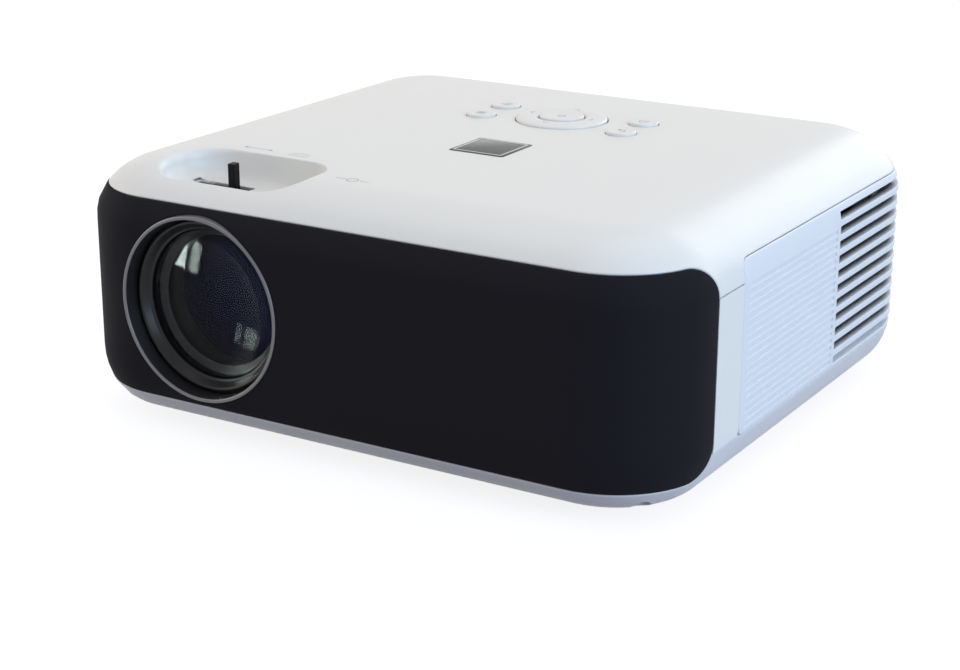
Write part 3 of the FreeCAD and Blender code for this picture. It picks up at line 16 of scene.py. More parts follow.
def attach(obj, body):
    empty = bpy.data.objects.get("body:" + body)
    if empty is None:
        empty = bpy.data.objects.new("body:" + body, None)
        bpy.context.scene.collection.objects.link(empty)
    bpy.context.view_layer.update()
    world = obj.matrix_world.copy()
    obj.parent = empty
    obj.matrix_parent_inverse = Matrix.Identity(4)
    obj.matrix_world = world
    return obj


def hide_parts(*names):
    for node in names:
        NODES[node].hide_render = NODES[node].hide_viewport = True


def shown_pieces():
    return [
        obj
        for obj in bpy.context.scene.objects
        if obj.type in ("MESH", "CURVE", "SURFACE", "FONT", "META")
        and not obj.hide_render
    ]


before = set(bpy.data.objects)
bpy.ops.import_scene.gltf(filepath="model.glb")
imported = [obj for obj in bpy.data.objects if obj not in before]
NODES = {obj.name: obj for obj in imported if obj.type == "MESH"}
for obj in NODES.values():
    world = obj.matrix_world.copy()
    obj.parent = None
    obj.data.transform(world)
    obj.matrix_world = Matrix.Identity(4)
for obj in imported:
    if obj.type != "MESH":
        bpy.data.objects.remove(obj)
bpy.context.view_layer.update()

MM = 0.001
LIFT = 6.0  # the housing's underside stands this many mm above the table
print("frame nodes:", len(NODES))

# %% [markdown]
# ## Camera
# A product picture is usually taken with a longish lens, a little above the object and to one
# side.  The camera's direction comes from two angles.  The 36 mm sensor is Blender's default.
# %% Camera
AZIMUTH, ELEVATION, ROLL = (math.radians(a) for a in (31.14, 18.39, 0.21))
CAMERA_MM = Vector((410.48, -702.10, 285.31 + LIFT))
FOCAL_PIXELS, IMAGE_WIDTH, SENSOR = 2018.5, 960, 36.0


def direction(azimuth, elevation):
    """Unit vector from the object towards somebody who looks at it from those angles."""
    flat = math.cos(elevation)
    return Vector((math.sin(azimuth) * flat, -math.cos(azimuth) * flat, math.sin(elevation)))


camera_data = bpy.data.cameras.new("camera")
camera_data.sensor_width = SENSOR
camera_data.lens = FOCAL_PIXELS / IMAGE_WIDTH * SENSOR
camera = bpy.data.objects.new("camera", camera_data)
bpy.context.scene.collection.objects.link(camera)
camera.location = CAMERA_MM * MM
aim = direction(AZIMUTH, ELEVATION).to_track_quat("Z", "Y").to_matrix()
camera.rotation_euler = (aim @ Matrix.Rotation(ROLL, 3, "Z")).to_euler()
bpy.context.scene.camera = camera
print("lens:", round(camera_data.lens, 1), "mm")

# %% [markdown]
# ## The housing's form, as a formula
# The shell is a pillow: a rounded rectangle in plan whose upright walls turn over a quarter
# ellipse into the flat top, and over a tighter one into the flat underside.  It could be cut from
# a subdivided cube, but then every seam would have to be cut by eye.  A formula gives the exact
# place of any point on the shell, so each cover and panel is drawn flat, as a pattern, and then
# laid on the form.  Lengths in these cells are millimetres above the underside.
# %% Form of the housing
WIDTH, DEPTH, HEIGHT, CORNER = 270.0, 252.0, 100.0, 40.0
CROWN_IN, CROWN_DOWN = 32.0, 24.0
BELLY_IN, BELLY_UP = 15.2, 22.0
FLAT_X, FLAT_Y = WIDTH / 2 - CORNER, DEPTH / 2 - CORNER
ARC = CORNER * math.pi / 2
ROUND = 4 * (FLAT_X + FLAT_Y + ARC)  # the whole way round the housing


def round_the_wall(s):
    """The corners' centre line and the way out from it, s mm round from the front's middle."""
    s = (s + FLAT_X) % ROUND
    corner, along, out = Vector((-FLAT_X, -FLAT_Y)), Vector((1, 0)), Vector((0, -1))
    for run in (2 * FLAT_X, 2 * FLAT_Y, 2 * FLAT_X, 2 * FLAT_Y):
        if s <= run:
            return corner + along * s, out
        corner, s = corner + along * run, s - run
        if s <= ARC:
            angle = s / CORNER
            return corner, out * math.cos(angle) + along * math.sin(angle)
        s -= ARC
        along, out = -out, along
    return corner, out


def wall_at(z):
    """How far the wall lies inside the outline at height z, and its normal's two parts."""
    if z > HEIGHT - CROWN_DOWN:
        wide, tall, sine = CROWN_IN, CROWN_DOWN, (z - HEIGHT + CROWN_DOWN) / CROWN_DOWN
    elif z < BELLY_UP:
        wide, tall, sine = BELLY_IN, BELLY_UP, (z - BELLY_UP) / BELLY_UP
    else:
        return 0.0, 1.0, 0.0
    sine = max(-1.0, min(1.0, sine))
    cosine = math.sqrt(1 - sine * sine)
    out, up = cosine / wide, sine / tall
    size = math.hypot(out, up)
    return wide * (1 - cosine), out / size, up / size


def outside(centre, out, z, depth):
    """The point depth mm outside the wall at height z, out from a point of the centre line."""
    inset, n_out, n_up = wall_at(z)
    place = centre + out * (CORNER - inset + n_out * depth)
    return Vector((place.x, place.y, z + n_up * depth))


def on_wall(s, z, depth=0.0):
    return outside(*round_the_wall(s), z, depth)


print("way round the housing:", round(ROUND, 1), "mm")

# %% [markdown]
# ## Laying the top and the underside flat
# The top and the bottom cover each have a flat middle and a curved border, like a cap.  Their
# patterns keep the middle as it is and unroll the border outwards by its length along the curve,
# which a table of curve length against height gives.
# %% Flat patterns for the caps
CURVE_STEPS = 240


def read_off(keys, values, x):
    """The value at x in a table whose keys rise."""
    k = max(1, min(len(keys) - 1, bisect.bisect_left(keys, x)))
    share = (x - keys[k - 1]) / (keys[k] - keys[k - 1])
    return values[k - 1] + share * (values[k] - values[k - 1])


def from_middle(x, y):
    """The nearest point of the corner centres' rectangle, and the way from it."""
    centre = Vector((max(-FLAT_X, min(FLAT_X, x)), max(-FLAT_Y, min(FLAT_Y, y))))
    return centre, Vector((x, y)) - centre


class Cap:
    """The crown (up = 1) or the belly (up = -1), unrolled on a plane."""

    def __init__(self, wide, tall, flat_z, up):
        self.inner, self.flat_z, self.up = CORNER - wide, flat_z, up
        angles = [math.pi / 2 * (1 - k / CURVE_STEPS) for k in range(CURVE_STEPS + 1)]
        self.radii = [self.inner + wide * math.cos(a) for a in angles]
        self.drops = [tall * (1 - math.sin(a)) for a in angles]
        self.heights, self.lengths = [flat_z - up * drop for drop in self.drops], [0.0]
        for k in range(CURVE_STEPS):
            across, down = (row[k + 1] - row[k] for row in (self.radii, self.drops))
            self.lengths.append(self.lengths[-1] + math.hypot(across, down))

    def length_at(self, z):
        """Length down the border from the flat to height z."""
        if self.up * (self.heights[-1] - z) > 0:
            return self.lengths[-1] + abs(z - self.heights[-1])
        return read_off(self.drops, self.lengths, self.up * (self.flat_z - z))

    def flat_point(self, s, z):
        """Where the wall's point (s, z) lies on the pattern."""
        centre, out = round_the_wall(s)
        return centre + out * (self.inner + self.length_at(z))

    def plan_point(self, x, y):
        """Where the point above or below (x, y) lies on the pattern."""
        centre, way = from_middle(x, y)
        if way.length <= self.inner:
            return Vector((x, y))
        length = read_off(self.radii, self.lengths, way.length)
        return centre + way.normalized() * (self.inner + length)

    def on(self, u, v, depth=0.0):
        """The point of the shell under the pattern's point (u, v)."""
        centre, way = from_middle(u, v)
        length = way.length - self.inner
        if length <= 0:
            return Vector((u, v, self.flat_z + self.up * depth))
        if length >= self.lengths[-1]:
            z = self.heights[-1] - self.up * (length - self.lengths[-1])
        else:
            z = read_off(self.lengths, self.heights, length)
        return outside(centre, way.normalized(), z, depth)


CROWN = Cap(CROWN_IN, CROWN_DOWN, HEIGHT, 1)
BELLY = Cap(BELLY_IN, BELLY_UP, 0.0, -1)
print("border of the top:", round(CROWN.lengths[-1], 1), "mm along the curve")

# %% [markdown]
# ## From a pattern to a skin
# Each cover is one moulding with small rounded edges, which catch the light along every seam.  A
# bevel modifier stumbles over dense curved meshes, so the rounding is drawn into the pattern: each
# outline is repeated as a few rings, moved inwards and sunk by a quarter circle.
# %% Rings over an edge
WALL = 2.8  # thickness of the moulded walls
EDGE_R = 0.5  # radius of the moulded edges
TURN_STEPS = (90, 60, 30, 0)
RING_LEAD = 0.3  # flat rim between the pattern and an edge's curve


def divided(a, b, step):
    """Points from a towards b, none further apart than step, without b itself."""
    parts = max(1, math.ceil((b - a).length / step))
    return [a.lerp(b, k / parts) for k in range(parts)]


def spread(points, step):
    """The closed outline with points added so that none are further apart than step."""
    return [p for a, b in zip(points, points[1:] + points[:1]) for p in divided(a, b, step)]


def bands(first, rows, count, closed=False):
    """Faces between rows of count points that follow each other from the number first."""
    pairs = [(first + r * count, first + (r + 1) % rows * count) for r in range(rows - 1 + closed)]
    return [(a + k, a + (k + 1) % count, b + (k + 1) % count, b + k)
            for a, b in pairs for k in range(count)]


def moved(loop, inwards):
    """The outline moved sideways; a loop drawn anticlockwise moves into its own area."""
    result = []
    for before, point, after in zip(loop[-1:] + loop, loop, loop[1:] + loop[:1]):
        a, b = (point - before).normalized(), (after - point).normalized()
        left = Vector((-a.y - b.y, a.x + b.x))
        result.append(point + left * (inwards / (1 + a.dot(b))))
    return result


def area(loop):
    return sum(a.x * b.y - b.x * a.y for a, b in zip(loop, loop[1:] + loop[:1])) / 2


def rings_for(depth, radius):
    """Offset and depth of each ring, from the surface over the edge and down the wall."""
    turns = [math.radians(angle) for angle in TURN_STEPS]
    over = [(radius * (1 - math.cos(a)), -radius * (1 - math.sin(a))) for a in turns]
    return [(radius + RING_LEAD, 0.0)] + over + [(0.0, -depth)]


print("rings over an edge:", len(rings_for(WALL, EDGE_R)))

# %% [markdown]
# What is left between the rings is filled with triangles.  A fan or Blender's own fill would give
# long thin ones, which shade badly on a curve, so points are strewn inside first and constrained
# Delaunay triangulation joins them to the rings.
# %% Filling and mesh
NEAR = 2.0  # cells of this size keep inner points clear of the outlines


def fill_pattern(outer, holes, inside):
    """The points and the triangles of the area between closed outlines."""
    points, edges, faces = [], [], []
    for loop in [outer] + holes:
        first = len(points)
        points += loop
        ring = list(range(first, len(points)))
        edges += list(zip(ring, ring[1:] + ring[:1]))
        faces.append(ring if area(loop) > 0 else ring[::-1])
    near = {(round(p.x / NEAR) + i, round(p.y / NEAR) + j)
            for p in points for i in (-1, 0, 1) for j in (-1, 0, 1)}
    points += [p for p in inside if (round(p.x / NEAR), round(p.y / NEAR)) not in near]
    out = delaunay_2d_cdt(points, edges, faces, 0, 1e-6)
    return out[0], [face for face, source in zip(out[2], out[5]) if list(source) == [0]]


def build_mesh(name, points, faces, smooth_angle=35):
    """An object of these points in mm, with its doubled points merged."""
    mesh = bpy.data.meshes.new(name)
    mesh.from_pydata([(p.x * MM, p.y * MM, (p.z + LIFT) * MM) for p in points], [], faces)
    mesh.validate()
    work = bmesh.new()
    work.from_mesh(mesh)
    bmesh.ops.remove_doubles(work, verts=work.verts, dist=1e-7)
    bmesh.ops.delete(work, geom=[v for v in work.verts if not v.link_faces], context="VERTS")
    bmesh.ops.recalc_face_normals(work, faces=work.faces)
    work.to_mesh(mesh)
    work.free()
    mesh.shade_smooth()
    mesh.set_sharp_from_angle(angle=math.radians(smooth_angle))
    piece = bpy.data.objects.new(name, mesh)
    bpy.context.scene.collection.objects.link(piece)
    return piece


def settle(piece, body, nodes):
    """Lets a piece ride on its body and stand for its CAD nodes."""
    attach(piece, body)
    if nodes:
        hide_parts(*nodes)
    return piece


sample = [Vector(corner) for corner in ((0, 0), (9, 0), (9, 9), (0, 9))]
print("triangles in an empty square:", len(fill_pattern(sample, [], [])[1]))

# %% [markdown]
# A skin is the rings of its outline and holes, the filling between them, and a Solidify modifier,
# which gives the leaf its thickness.  The inside is never seen, so a leaf thinner than the real
# wall is enough, and the edges roll down by the wall's full depth.
# %% Skins from patterns
LEAF = 0.7  # the Solidify modifier's thickness


def skin(name, lay, outer, holes, inside, nodes, body="housing", hollow=None):
    """One moulded cover.  holes are (outline, depth, edge radius); a shallow one gets a floor.

    hollow is (outline, points, faces) of a hollow that is shaped by its own code.
    """
    points, faces = [], []

    def add_rings(loop, depth, edge):
        """Rolls the surface over an edge; returns the first ring and the last one's numbers."""
        rows = [(moved(loop, offset), sink) for offset, sink in rings_for(depth, edge)]
        count, first = len(loop), len(points)
        for flat, sink in rows:
            points.extend(lay(p.x, p.y, sink) for p in flat)
        faces.extend(bands(first, len(rows), count))
        return rows[0][0], tuple(range(len(points) - count, len(points)))

    border = add_rings(outer if area(outer) > 0 else outer[::-1], WALL, EDGE_R)[0]
    edge_loops = []
    for loop, depth, edge in holes:
        inner, deepest = add_rings(loop if area(loop) < 0 else loop[::-1], depth, edge)
        edge_loops.append(inner)
        if depth < WALL:
            faces.append(deepest)
    if hollow:
        loop, own_points, own_faces = hollow
        faces.extend(tuple(len(points) + k for k in face) for face in own_faces)
        points.extend(own_points)
        edge_loops.append(loop)
    flat, kept = fill_pattern(border, edge_loops, inside)
    first = len(points)
    points.extend(lay(p.x, p.y, 0.0) for p in flat)
    faces.extend(tuple(first + k for k in face) for face in kept)
    piece = build_mesh(name, points, faces)
    middle = Vector((0, 0, HEIGHT / 2 + LIFT)) * MM
    if sum(f.area * f.normal.dot(f.center - middle) for f in piece.data.polygons) < 0:
        piece.data.flip_normals()
    wall = piece.modifiers.new("thickness", "SOLIDIFY")
    wall.thickness = LEAF * MM
    wall.offset = -1
    return settle(piece, body, nodes)


print("leaf:", LEAF, "mm, edges", WALL, "mm deep")

# %% [markdown]
# ## Outlines of the covers and panels
# The black front runs round both front corners, the side panels round the rear corners, and the
# rear panel lies between them.  An outline is made of pairs (way round the wall, height), and
# leaves half of the seam free.  Only the right half is written down; the left half mirrors it.
# %% Outlines
SEAM = 0.18  # width of the seams between mouldings
PATTERN_STEP = 3.0  # spacing of the points along an outline
ANY_LOW, ANY_HIGH = -1, 999  # heights below and above everything
CLEAR = 1.0  # points of a curve that lie nearer than this to a cover's seam are left out
LOW_SEAM, HIGH_SEAM = 17.5, 75.7
FACE_LOW, FACE_HIGH, FACE_END, FACE_R = 8.7, 88.9, -84.6, 13.0
SIDE_LOW, SIDE_HIGH, SIDE_START, SIDE_R = 16.3, 84.4, -63.2, 5.0
# A panel's end on the right side: its y, which way it bulges, heights, corner radius and steps.
FACE = (FACE_END, 1, FACE_LOW, FACE_HIGH, FACE_R, 10)
SIDE = (SIDE_START, -1, SIDE_LOW, SIDE_HIGH, SIDE_R, 6)
REAR_LOW, REAR_HIGH, REAR_R = 12.0, 88.0, 3.0
RIGHT_SIDE = FLAT_X + ARC  # where the flat of the right side starts
BACK = ROUND / 2  # the middle of the back


def on_side(y, z):
    """Way round the wall for a point of the right side that lies at y and height z."""
    if y >= -FLAT_Y:
        return Vector((RIGHT_SIDE + FLAT_Y + y, z))
    share = (-FLAT_Y - y) / (CORNER - wall_at(z)[0])
    return Vector((FLAT_X + CORNER * math.acos(min(1, share)), z))


def on_back(x, z):
    return Vector((BACK - x, z))


def turn(centre, radius, first, last, steps):
    """Points along an arc from one angle to another, in degrees."""
    angles = [math.radians(first + (last - first) * k / steps) for k in range(steps + 1)]
    return [(centre[0] + radius * math.cos(a), centre[1] + radius * math.sin(a)) for a in angles]


def end_line(end, grow, low=ANY_LOW, high=ANY_HIGH):
    """The end of a panel between two heights: upwards for FACE, downwards for SIDE."""
    y, side, bottom, top, r, steps = end
    r += grow
    line = []
    for k, z in enumerate((bottom - grow + r, top + grow - r)[::side]):
        first = 90 * (k - side)
        line += turn((y + side * (grow - r), z), r, first, first + 90, steps)
    return [on_side(y, z) for y, z in line if low < z < high]


def front_outline(grow):
    right = end_line(FACE, grow)
    return right + [Vector((-p.x, p.y)) for p in reversed(right)]


def side_outline(grow):
    rear = [on_back(FLAT_X - grow, z) for z in (SIDE_LOW - grow, SIDE_HIGH + grow)]
    return rear + end_line(SIDE, grow)


print("front panel outline:", len(front_outline(-SEAM / 2)), "corner points")

# %% [markdown]
# Holes and grooves are circles and rectangles with round corners.  The points inside a pattern lie
# on a grid: its spacing decides how well the skin follows the form, so it is finer on the curved
# border of a cap than on the flat middle.
# %% Holes and inner points
WALL_STEP, BORDER_STEP, BORDER_ROWS = 4.0, 4.2, 2.6


def rounded(x0, x1, y0, y1, r, steps=4):
    """A rectangle with round corners, anticlockwise."""
    left, right, low, high = x0 + r, x1 - r, y0 + r, y1 - r
    corners = ((right, low, -90), (right, high, 0), (left, high, 90), (left, low, 180))
    return [Vector(p) for x, y, a in corners for p in turn((x, y), r, a, a + 90, steps)]


def circle(x, y, r, count):
    return [Vector((x + r * math.cos(a), y + r * math.sin(a)))
            for a in (2 * math.pi * k / count for k in range(count))]


def wall_grid(s0, s1, z0, z1):
    """Points for the inside of a wall panel's pattern."""
    across, up = int((s1 - s0) / WALL_STEP), int((z1 - z0) / WALL_STEP)
    return [Vector((s0 + WALL_STEP * i, z0 + WALL_STEP * j))
            for i in range(across + 1) for j in range(up + 1)]


def cap_grid(cap, deepest):
    """Points for a cap: rings down the border, and a coarse grid on the flat middle."""
    points = [Vector((x, y)) for x in range(-96, 97, 8) for y in range(-88, 89, 8)]
    length = 1.0
    while length < deepest:
        for k in range(int(ROUND / BORDER_STEP)):
            centre, out = round_the_wall(k * BORDER_STEP)
            points.append(centre + out * (cap.inner + length))
        length += BORDER_ROWS
    return points


print("points inside the top:", len(cap_grid(CROWN, CROWN.lengths[-1] - 1)))

# %% [markdown]
# The top cover's edge steps down from the front panel to the side seam and up again round the side
# panel and the rear panel.  The bottom cover's edge runs the same way below them, where the seam
# meets the panels' rounded corners.
# %% Edges of the two covers
def rear_corner(grow, z, up):
    """The rear panel's corner, and on to the back's middle, above (up = 1) or below it."""
    r = REAR_R + grow
    corner = turn((FLAT_X - REAR_R, z + up * (grow - r)), r, 0, up * 90, 5)
    return [on_back(*p) for p in corner] + [Vector((BACK, z + up * grow))]


def top_edge(grow):
    """Lower edge of the top cover, from the front's middle round the right to the back's."""
    low = HIGH_SEAM + grow
    edge = [Vector((0, FACE_HIGH + grow))] + end_line(FACE, grow, low + CLEAR)[::-1]
    edge += [on_side(FACE_END + grow, low), on_side(SIDE_START - grow, low)]
    edge += end_line(SIDE, grow, low + CLEAR)[::-1] + [on_back(FLAT_X + grow, SIDE_HIGH + grow)]
    return edge + rear_corner(grow, REAR_HIGH, 1)


def bottom_edge(grow):
    """Upper edge of the bottom cover, the same way round."""
    high, ends = LOW_SEAM - grow, []
    for end, side, low, _, r, _ in (FACE, SIDE):
        rise = high - (low + r)
        reach = math.sqrt((r + grow) ** 2 - rise ** 2)
        ends.append(on_side(end + side * (reach - r), high))
    edge = [Vector((0, FACE_LOW - grow))] + end_line(FACE, grow, high=high - CLEAR) + ends
    edge += end_line(SIDE, grow, high=high - CLEAR) + [on_back(FLAT_X + grow, SIDE_LOW - grow)]
    return edge + rear_corner(grow, REAR_LOW, -1)


def both_halves(right):
    """A right half, from the front's middle to the back's, with points added and made whole."""
    half = [p for a, b in zip(right, right[1:]) for p in divided(a, b, PATTERN_STEP)] + [right[-1]]
    return half + [Vector((ROUND - p.x, p.y)) for p in reversed(half[1:-1])]


print("points round the top cover:", len(both_halves(top_edge(SEAM / 2))))

# %% [markdown]
# ## Front panel
# The front is one black moulding that wraps round both corners.  Where the lens's hole lies on
# the curved corner, it is squeezed on the pattern, so that it is a circle along the lens's axis.
# %% Front panel
LENS = Vector((-64.5, 49.1))
TRIM_R = 37.15


def across_front(x, z):
    """Way round the wall for a point of the front that lies at x and height z."""
    if abs(x) <= FLAT_X:
        return Vector((x, z))
    share = (abs(x) - FLAT_X) / (CORNER - wall_at(z)[0])
    return Vector((math.copysign(FLAT_X + CORNER * math.asin(share), x), z))


lens_hole = [across_front(p.x, p.y) for p in circle(LENS.x, LENS.y, TRIM_R + 0.1, 120)]
front = skin("front_panel_skin", on_wall, spread(front_outline(-SEAM / 2), PATTERN_STEP),
             [(lens_hole, WALL, 0.3)], wall_grid(-158, 158, 10, 88), ["front_panel"])
print("front panel:", len(front.data.vertices), "points")

# %% [markdown]
# ## Finger pocket
# The top is one glossy white moulding.  Near its front left corner lies a finger pocket, with a
# soft lip on the left, a crisp one on the right, and walls that sweep into the floor in a hollow
# curve.  A boolean would leave the walls straight, so the pocket is drawn as rows of points between
# the lip's outline and the floor's, each sunk by a quarter wave.  The keystone lever's slot is part
# of the floor's pattern.
# %% Finger pocket
POCKET_FLOOR, SLOT_DEEP = 88.8, 1.6
LIP_ANGLES, WALL_ROWS, LIP_STEP = range(0, 91, 15), 14, 1.2
CRISP_LIP, SOFT_LIP = 0.5, 3.2  # the lip's radius on the right, and what the left adds
SOFT_FROM, SOFT_OVER = -66.0, 30.0  # x where the lip begins to soften, and the length that it takes
LIP = rounded(-98.5, -30.9, -111.9, -75.1, 15.5, 14)
FLOOR_LINE = rounded(-87.5, -38.5, -109.2, -77.6, 9.0, 14)
SLOT_X, SLOT_Y = (-93.0, -65.0), (-90.85, -86.15)
LEVER_SLOT = rounded(*SLOT_X, *SLOT_Y, 0.8)


def crown_height(x, y):
    """Height of the top cover above (x, y)."""
    out = math.hypot(max(0, abs(x) - FLAT_X), max(0, abs(y) - FLAT_Y)) - CROWN.inner
    share = min(1.0, max(0.0, out) / CROWN_IN)
    return HEIGHT - CROWN_DOWN * (1 - math.sqrt(1 - share * share))


def finger_pocket():
    """The pocket's outline on the pattern, and the points and faces of its walls and floor."""
    lip, foot = [], []
    for k, (a, c) in enumerate(zip(LIP, FLOOR_LINE)):
        b, d = LIP[(k + 1) % len(LIP)], FLOOR_LINE[(k + 1) % len(LIP)]
        more = divided(a, b, LIP_STEP)
        lip += more
        foot += [c.lerp(d, j / len(more)) for j in range(len(more))]
    soft = [CRISP_LIP + SOFT_LIP * max(0.0, min(1.0, (SOFT_FROM - p.x) / SOFT_OVER)) ** 2
            for p in lip]
    rows = []
    for a in map(math.radians, LIP_ANGLES):
        outer = [p + (p - q).normalized() * (r * (1 - math.sin(a)))
                 for p, q, r in zip(lip, foot, soft)]
        if a == 0:
            outline = [CROWN.plan_point(q.x, q.y) for q in outer]
            rows.append([CROWN.on(*q) for q in outline])
        else:
            rows.append([Vector((q.x, q.y, crown_height(q.x, q.y) - r * (1 - math.cos(a))))
                         for q, r in zip(outer, soft)])
    edge = rows[-1]
    for step in range(1, WALL_ROWS + 1):
        a = math.pi / 2 * step / WALL_ROWS
        rows.append([Vector((*p.lerp(q, 1 - math.cos(a)),
                             top.z + (POCKET_FLOOR - top.z) * math.sin(a)))
                     for p, q, top in zip(lip, foot, edge)])
    points = [p for row in rows for p in row]
    faces = bands(0, len(rows), len(lip))
    slot = spread(LEVER_SLOT, 2.0)
    inside = [Vector((x, y)) for x in range(-84, -40, 4) for y in range(-106, -80, 4)]
    flat, kept = fill_pattern([Vector((p.x, p.y)) for p in rows[-1]], [slot], inside)
    first = len(points)
    points += [Vector((p.x, p.y, POCKET_FLOOR)) for p in flat]
    faces += [tuple(first + k for k in face) for face in kept]
    first = len(points)
    for z in (POCKET_FLOOR, POCKET_FLOOR - SLOT_DEEP):
        points += [Vector((p.x, p.y, z)) for p in slot]
    faces += bands(first, 2, len(slot))
    return outline, points, faces


pocket = finger_pocket()
print("finger pocket:", len(pocket[1]), "points")

# %% [markdown]
# ## Top cover
# The pocket, the round holes of the keys and the badge's pit are all part of the top cover's one
# pattern, so they share its mesh and have the same rounded edges as its border.
# %% Top cover
KEYS = Vector((0.0, 44.5))
KEY_PLACES = {"power": (34, 10.5), "source": (-34, 10.5), "menu": (-34, -10.5), "back": (34, -10.5)}
KEY_HOLE_R, RING_HOLE_R = 6.7, 20.1
BADGE, PIT_HALF, PIT_DEEP = Vector((1.5, -17.2)), 12.6, 0.7


def square(half, r, steps=5):
    """A square with round corners about the badge's middle."""
    return rounded(BADGE.x - half, BADGE.x + half, BADGE.y - half, BADGE.y + half, r, steps)


top_holes = [(circle(KEYS.x + dx, KEYS.y + dy, KEY_HOLE_R, 40), WALL, 0.35)
             for dx, dy in KEY_PLACES.values()]
top_holes.append((circle(KEYS.x, KEYS.y, RING_HOLE_R, 96), WALL, 0.45))
top_holes.append((square(PIT_HALF, 1.1, 4), PIT_DEEP, 0.2))
top_line = both_halves(top_edge(SEAM / 2))
top = skin("top_cover_skin", CROWN.on, [CROWN.flat_point(p.x, p.y) for p in top_line], top_holes,
           cap_grid(CROWN, CROWN.lengths[-1] - 1), ["top_cover", "pocket_tub"],
           hollow=pocket)
print("top cover:", len(top.data.vertices), "points")

# %% [markdown]
# The lever's slot runs on into the pocket's left wall, and the focus wheel comes up through the
# floor.  A boolean would need a closed body to cut, so the leaf is split along four planes and the
# faces between them are taken out.
# %% Openings for the lever and the wheel
WHEEL_X, WHEEL_Y = (-75.4, -53.6), (-109.5, -93.5)
SLOT_IN_WALL = (SLOT_X[0], -86.0)
AROUND = 4  # faces this many mm outside the rectangle are split too


def cut_through(piece, xs, ys, zs):
    """Opens the piece over a rectangle, between two heights."""
    def near(face, slack):
        c = face.calc_center_median() / MM
        return (xs[0] - slack < c.x < xs[1] + slack and ys[0] - slack < c.y < ys[1] + slack
                and zs[0] < c.z - LIFT < zs[1])

    work = bmesh.new()
    work.from_mesh(piece.data)
    for point, normal in [((x, 0), (1, 0)) for x in xs] + [((0, y), (0, 1)) for y in ys]:
        faces = [f for f in work.faces if near(f, AROUND)]
        edges = {e for f in faces for e in f.edges}
        verts = {v for f in faces for v in f.verts}
        bmesh.ops.bisect_plane(work, geom=faces + list(edges) + list(verts),
                               plane_co=Vector((*point, 0)) * MM, plane_no=Vector((*normal, 0)))
    bmesh.ops.delete(work, geom=[f for f in work.faces if near(f, 0)], context="FACES")
    work.to_mesh(piece.data)
    work.free()


cut_through(top, SLOT_IN_WALL, SLOT_Y, (POCKET_FLOOR + 0.02, HEIGHT - 2))
cut_through(top, WHEEL_X, WHEEL_Y, (POCKET_FLOOR - 0.1, POCKET_FLOOR + 1))
print("top cover, opened:", len(top.data.vertices), "points")

# %% [markdown]
# ## Bottom cover
# The underside has an intake grille, wells for the case screws, and holes for the screw foot, the
# tripod thread and the ceiling bracket's inserts.
# %% Bottom cover
WELL_R, INSERT_R, TRIPOD_R, FOOT_R = 3.6, 3.4, 5.0, 4.1
TRIPOD_Y, FOOT_Y = -58, -84
BAR_HALF, GRILLE_Y = 1.6, (-44, -10)
wells = [(circle(x, y, WELL_R, 24), 0.3) for x in (-117.5, 117.5) for y in (-106.5, 106.5)]
bores = [(circle(x, y, INSERT_R, 32), 0.3) for x in (-60, 60) for y in (-75, 31)]
bores += [(circle(0, TRIPOD_Y, TRIPOD_R, 40), 0.4), (circle(0, FOOT_Y, FOOT_R, 32), 0.4)]
grille = [(rounded(x - BAR_HALF, x + BAR_HALF, *GRILLE_Y, 1.5), 0.3) for x in range(-40, 61, 10)]
bottom_holes = [([BELLY.plan_point(p.x, p.y) for p in loop], WALL, edge)
                for loop, edge in wells + bores + grille]
bottom_line = both_halves(bottom_edge(SEAM / 2))
bottom = skin("bottom_cover_skin", BELLY.on, [BELLY.flat_point(p.x, p.y) for p in bottom_line],
              bottom_holes, cap_grid(BELLY, BELLY.lengths[-1] - 5), ["bottom_cover"])
print("bottom cover:", len(bottom.data.vertices), "points")

# %% [markdown]
# ## Side panels
# Each side panel is a slightly rougher moulding with fine grooves.  Behind every second groove
# lies a vent slot that runs on round the rear corner.  The left panel also has an opening for the
# disc tray's door.
# %% Side panels
FIRST_ROW, GROOVE_PITCH = 19.7, 3
SLOT_ROWS = [FIRST_ROW + 2 * GROOVE_PITCH * k for k in range(11)]
GROOVE_ROWS = [FIRST_ROW + GROOVE_PITCH * k for k in range(19)]
SIDE_MIDDLE = RIGHT_SIDE + FLAT_Y  # way round the wall where y is 0
SLOT_START, SLOT_STOP = 29.0, RIGHT_SIDE + 2 * FLAT_Y + math.radians(48) * CORNER
GROOVE_START, GROOVE_STOP = -58.5, 26.0
SLOT_HALF, GROOVE_HALF, GROOVE_DEEP = 1.65, 0.65, 0.6
LOUVRE_DEEP = 4.2  # the slots' walls reach behind the panel's own wall
DOOR = (-55.8, 75.8, 66.6, 80.6)  # from y to y, and from height to height
DOOR_GAP = 0.4


def vent_slots(late_from=ANY_HIGH, late_start=0):
    """Outlines of the slots; those above late_from start further back."""
    loops = []
    for z in SLOT_ROWS:
        start = SIDE_MIDDLE + (late_start if z > late_from else SLOT_START)
        loop = rounded(start, SLOT_STOP, z - SLOT_HALF, z + SLOT_HALF, 0.3, 2)
        loops.append((spread(loop, PATTERN_STEP), LOUVRE_DEEP, 0.35))
    return loops


def grooves(top):
    """Shallow outlines of the grooves that lie lower than top."""
    start, end = SIDE_MIDDLE + GROOVE_START, SIDE_MIDDLE + GROOVE_STOP
    return [(spread(rounded(start, end, z - GROOVE_HALF, z + GROOVE_HALF, 0.3, 2), 6.0),
             GROOVE_DEEP, 0.4) for z in GROOVE_ROWS if z < top]


def on_left_wall(s, z, depth=0.0):
    """The left side is the right side's mirror image."""
    place = on_wall(s, z, depth)
    return Vector((-place.x, place.y, place.z))


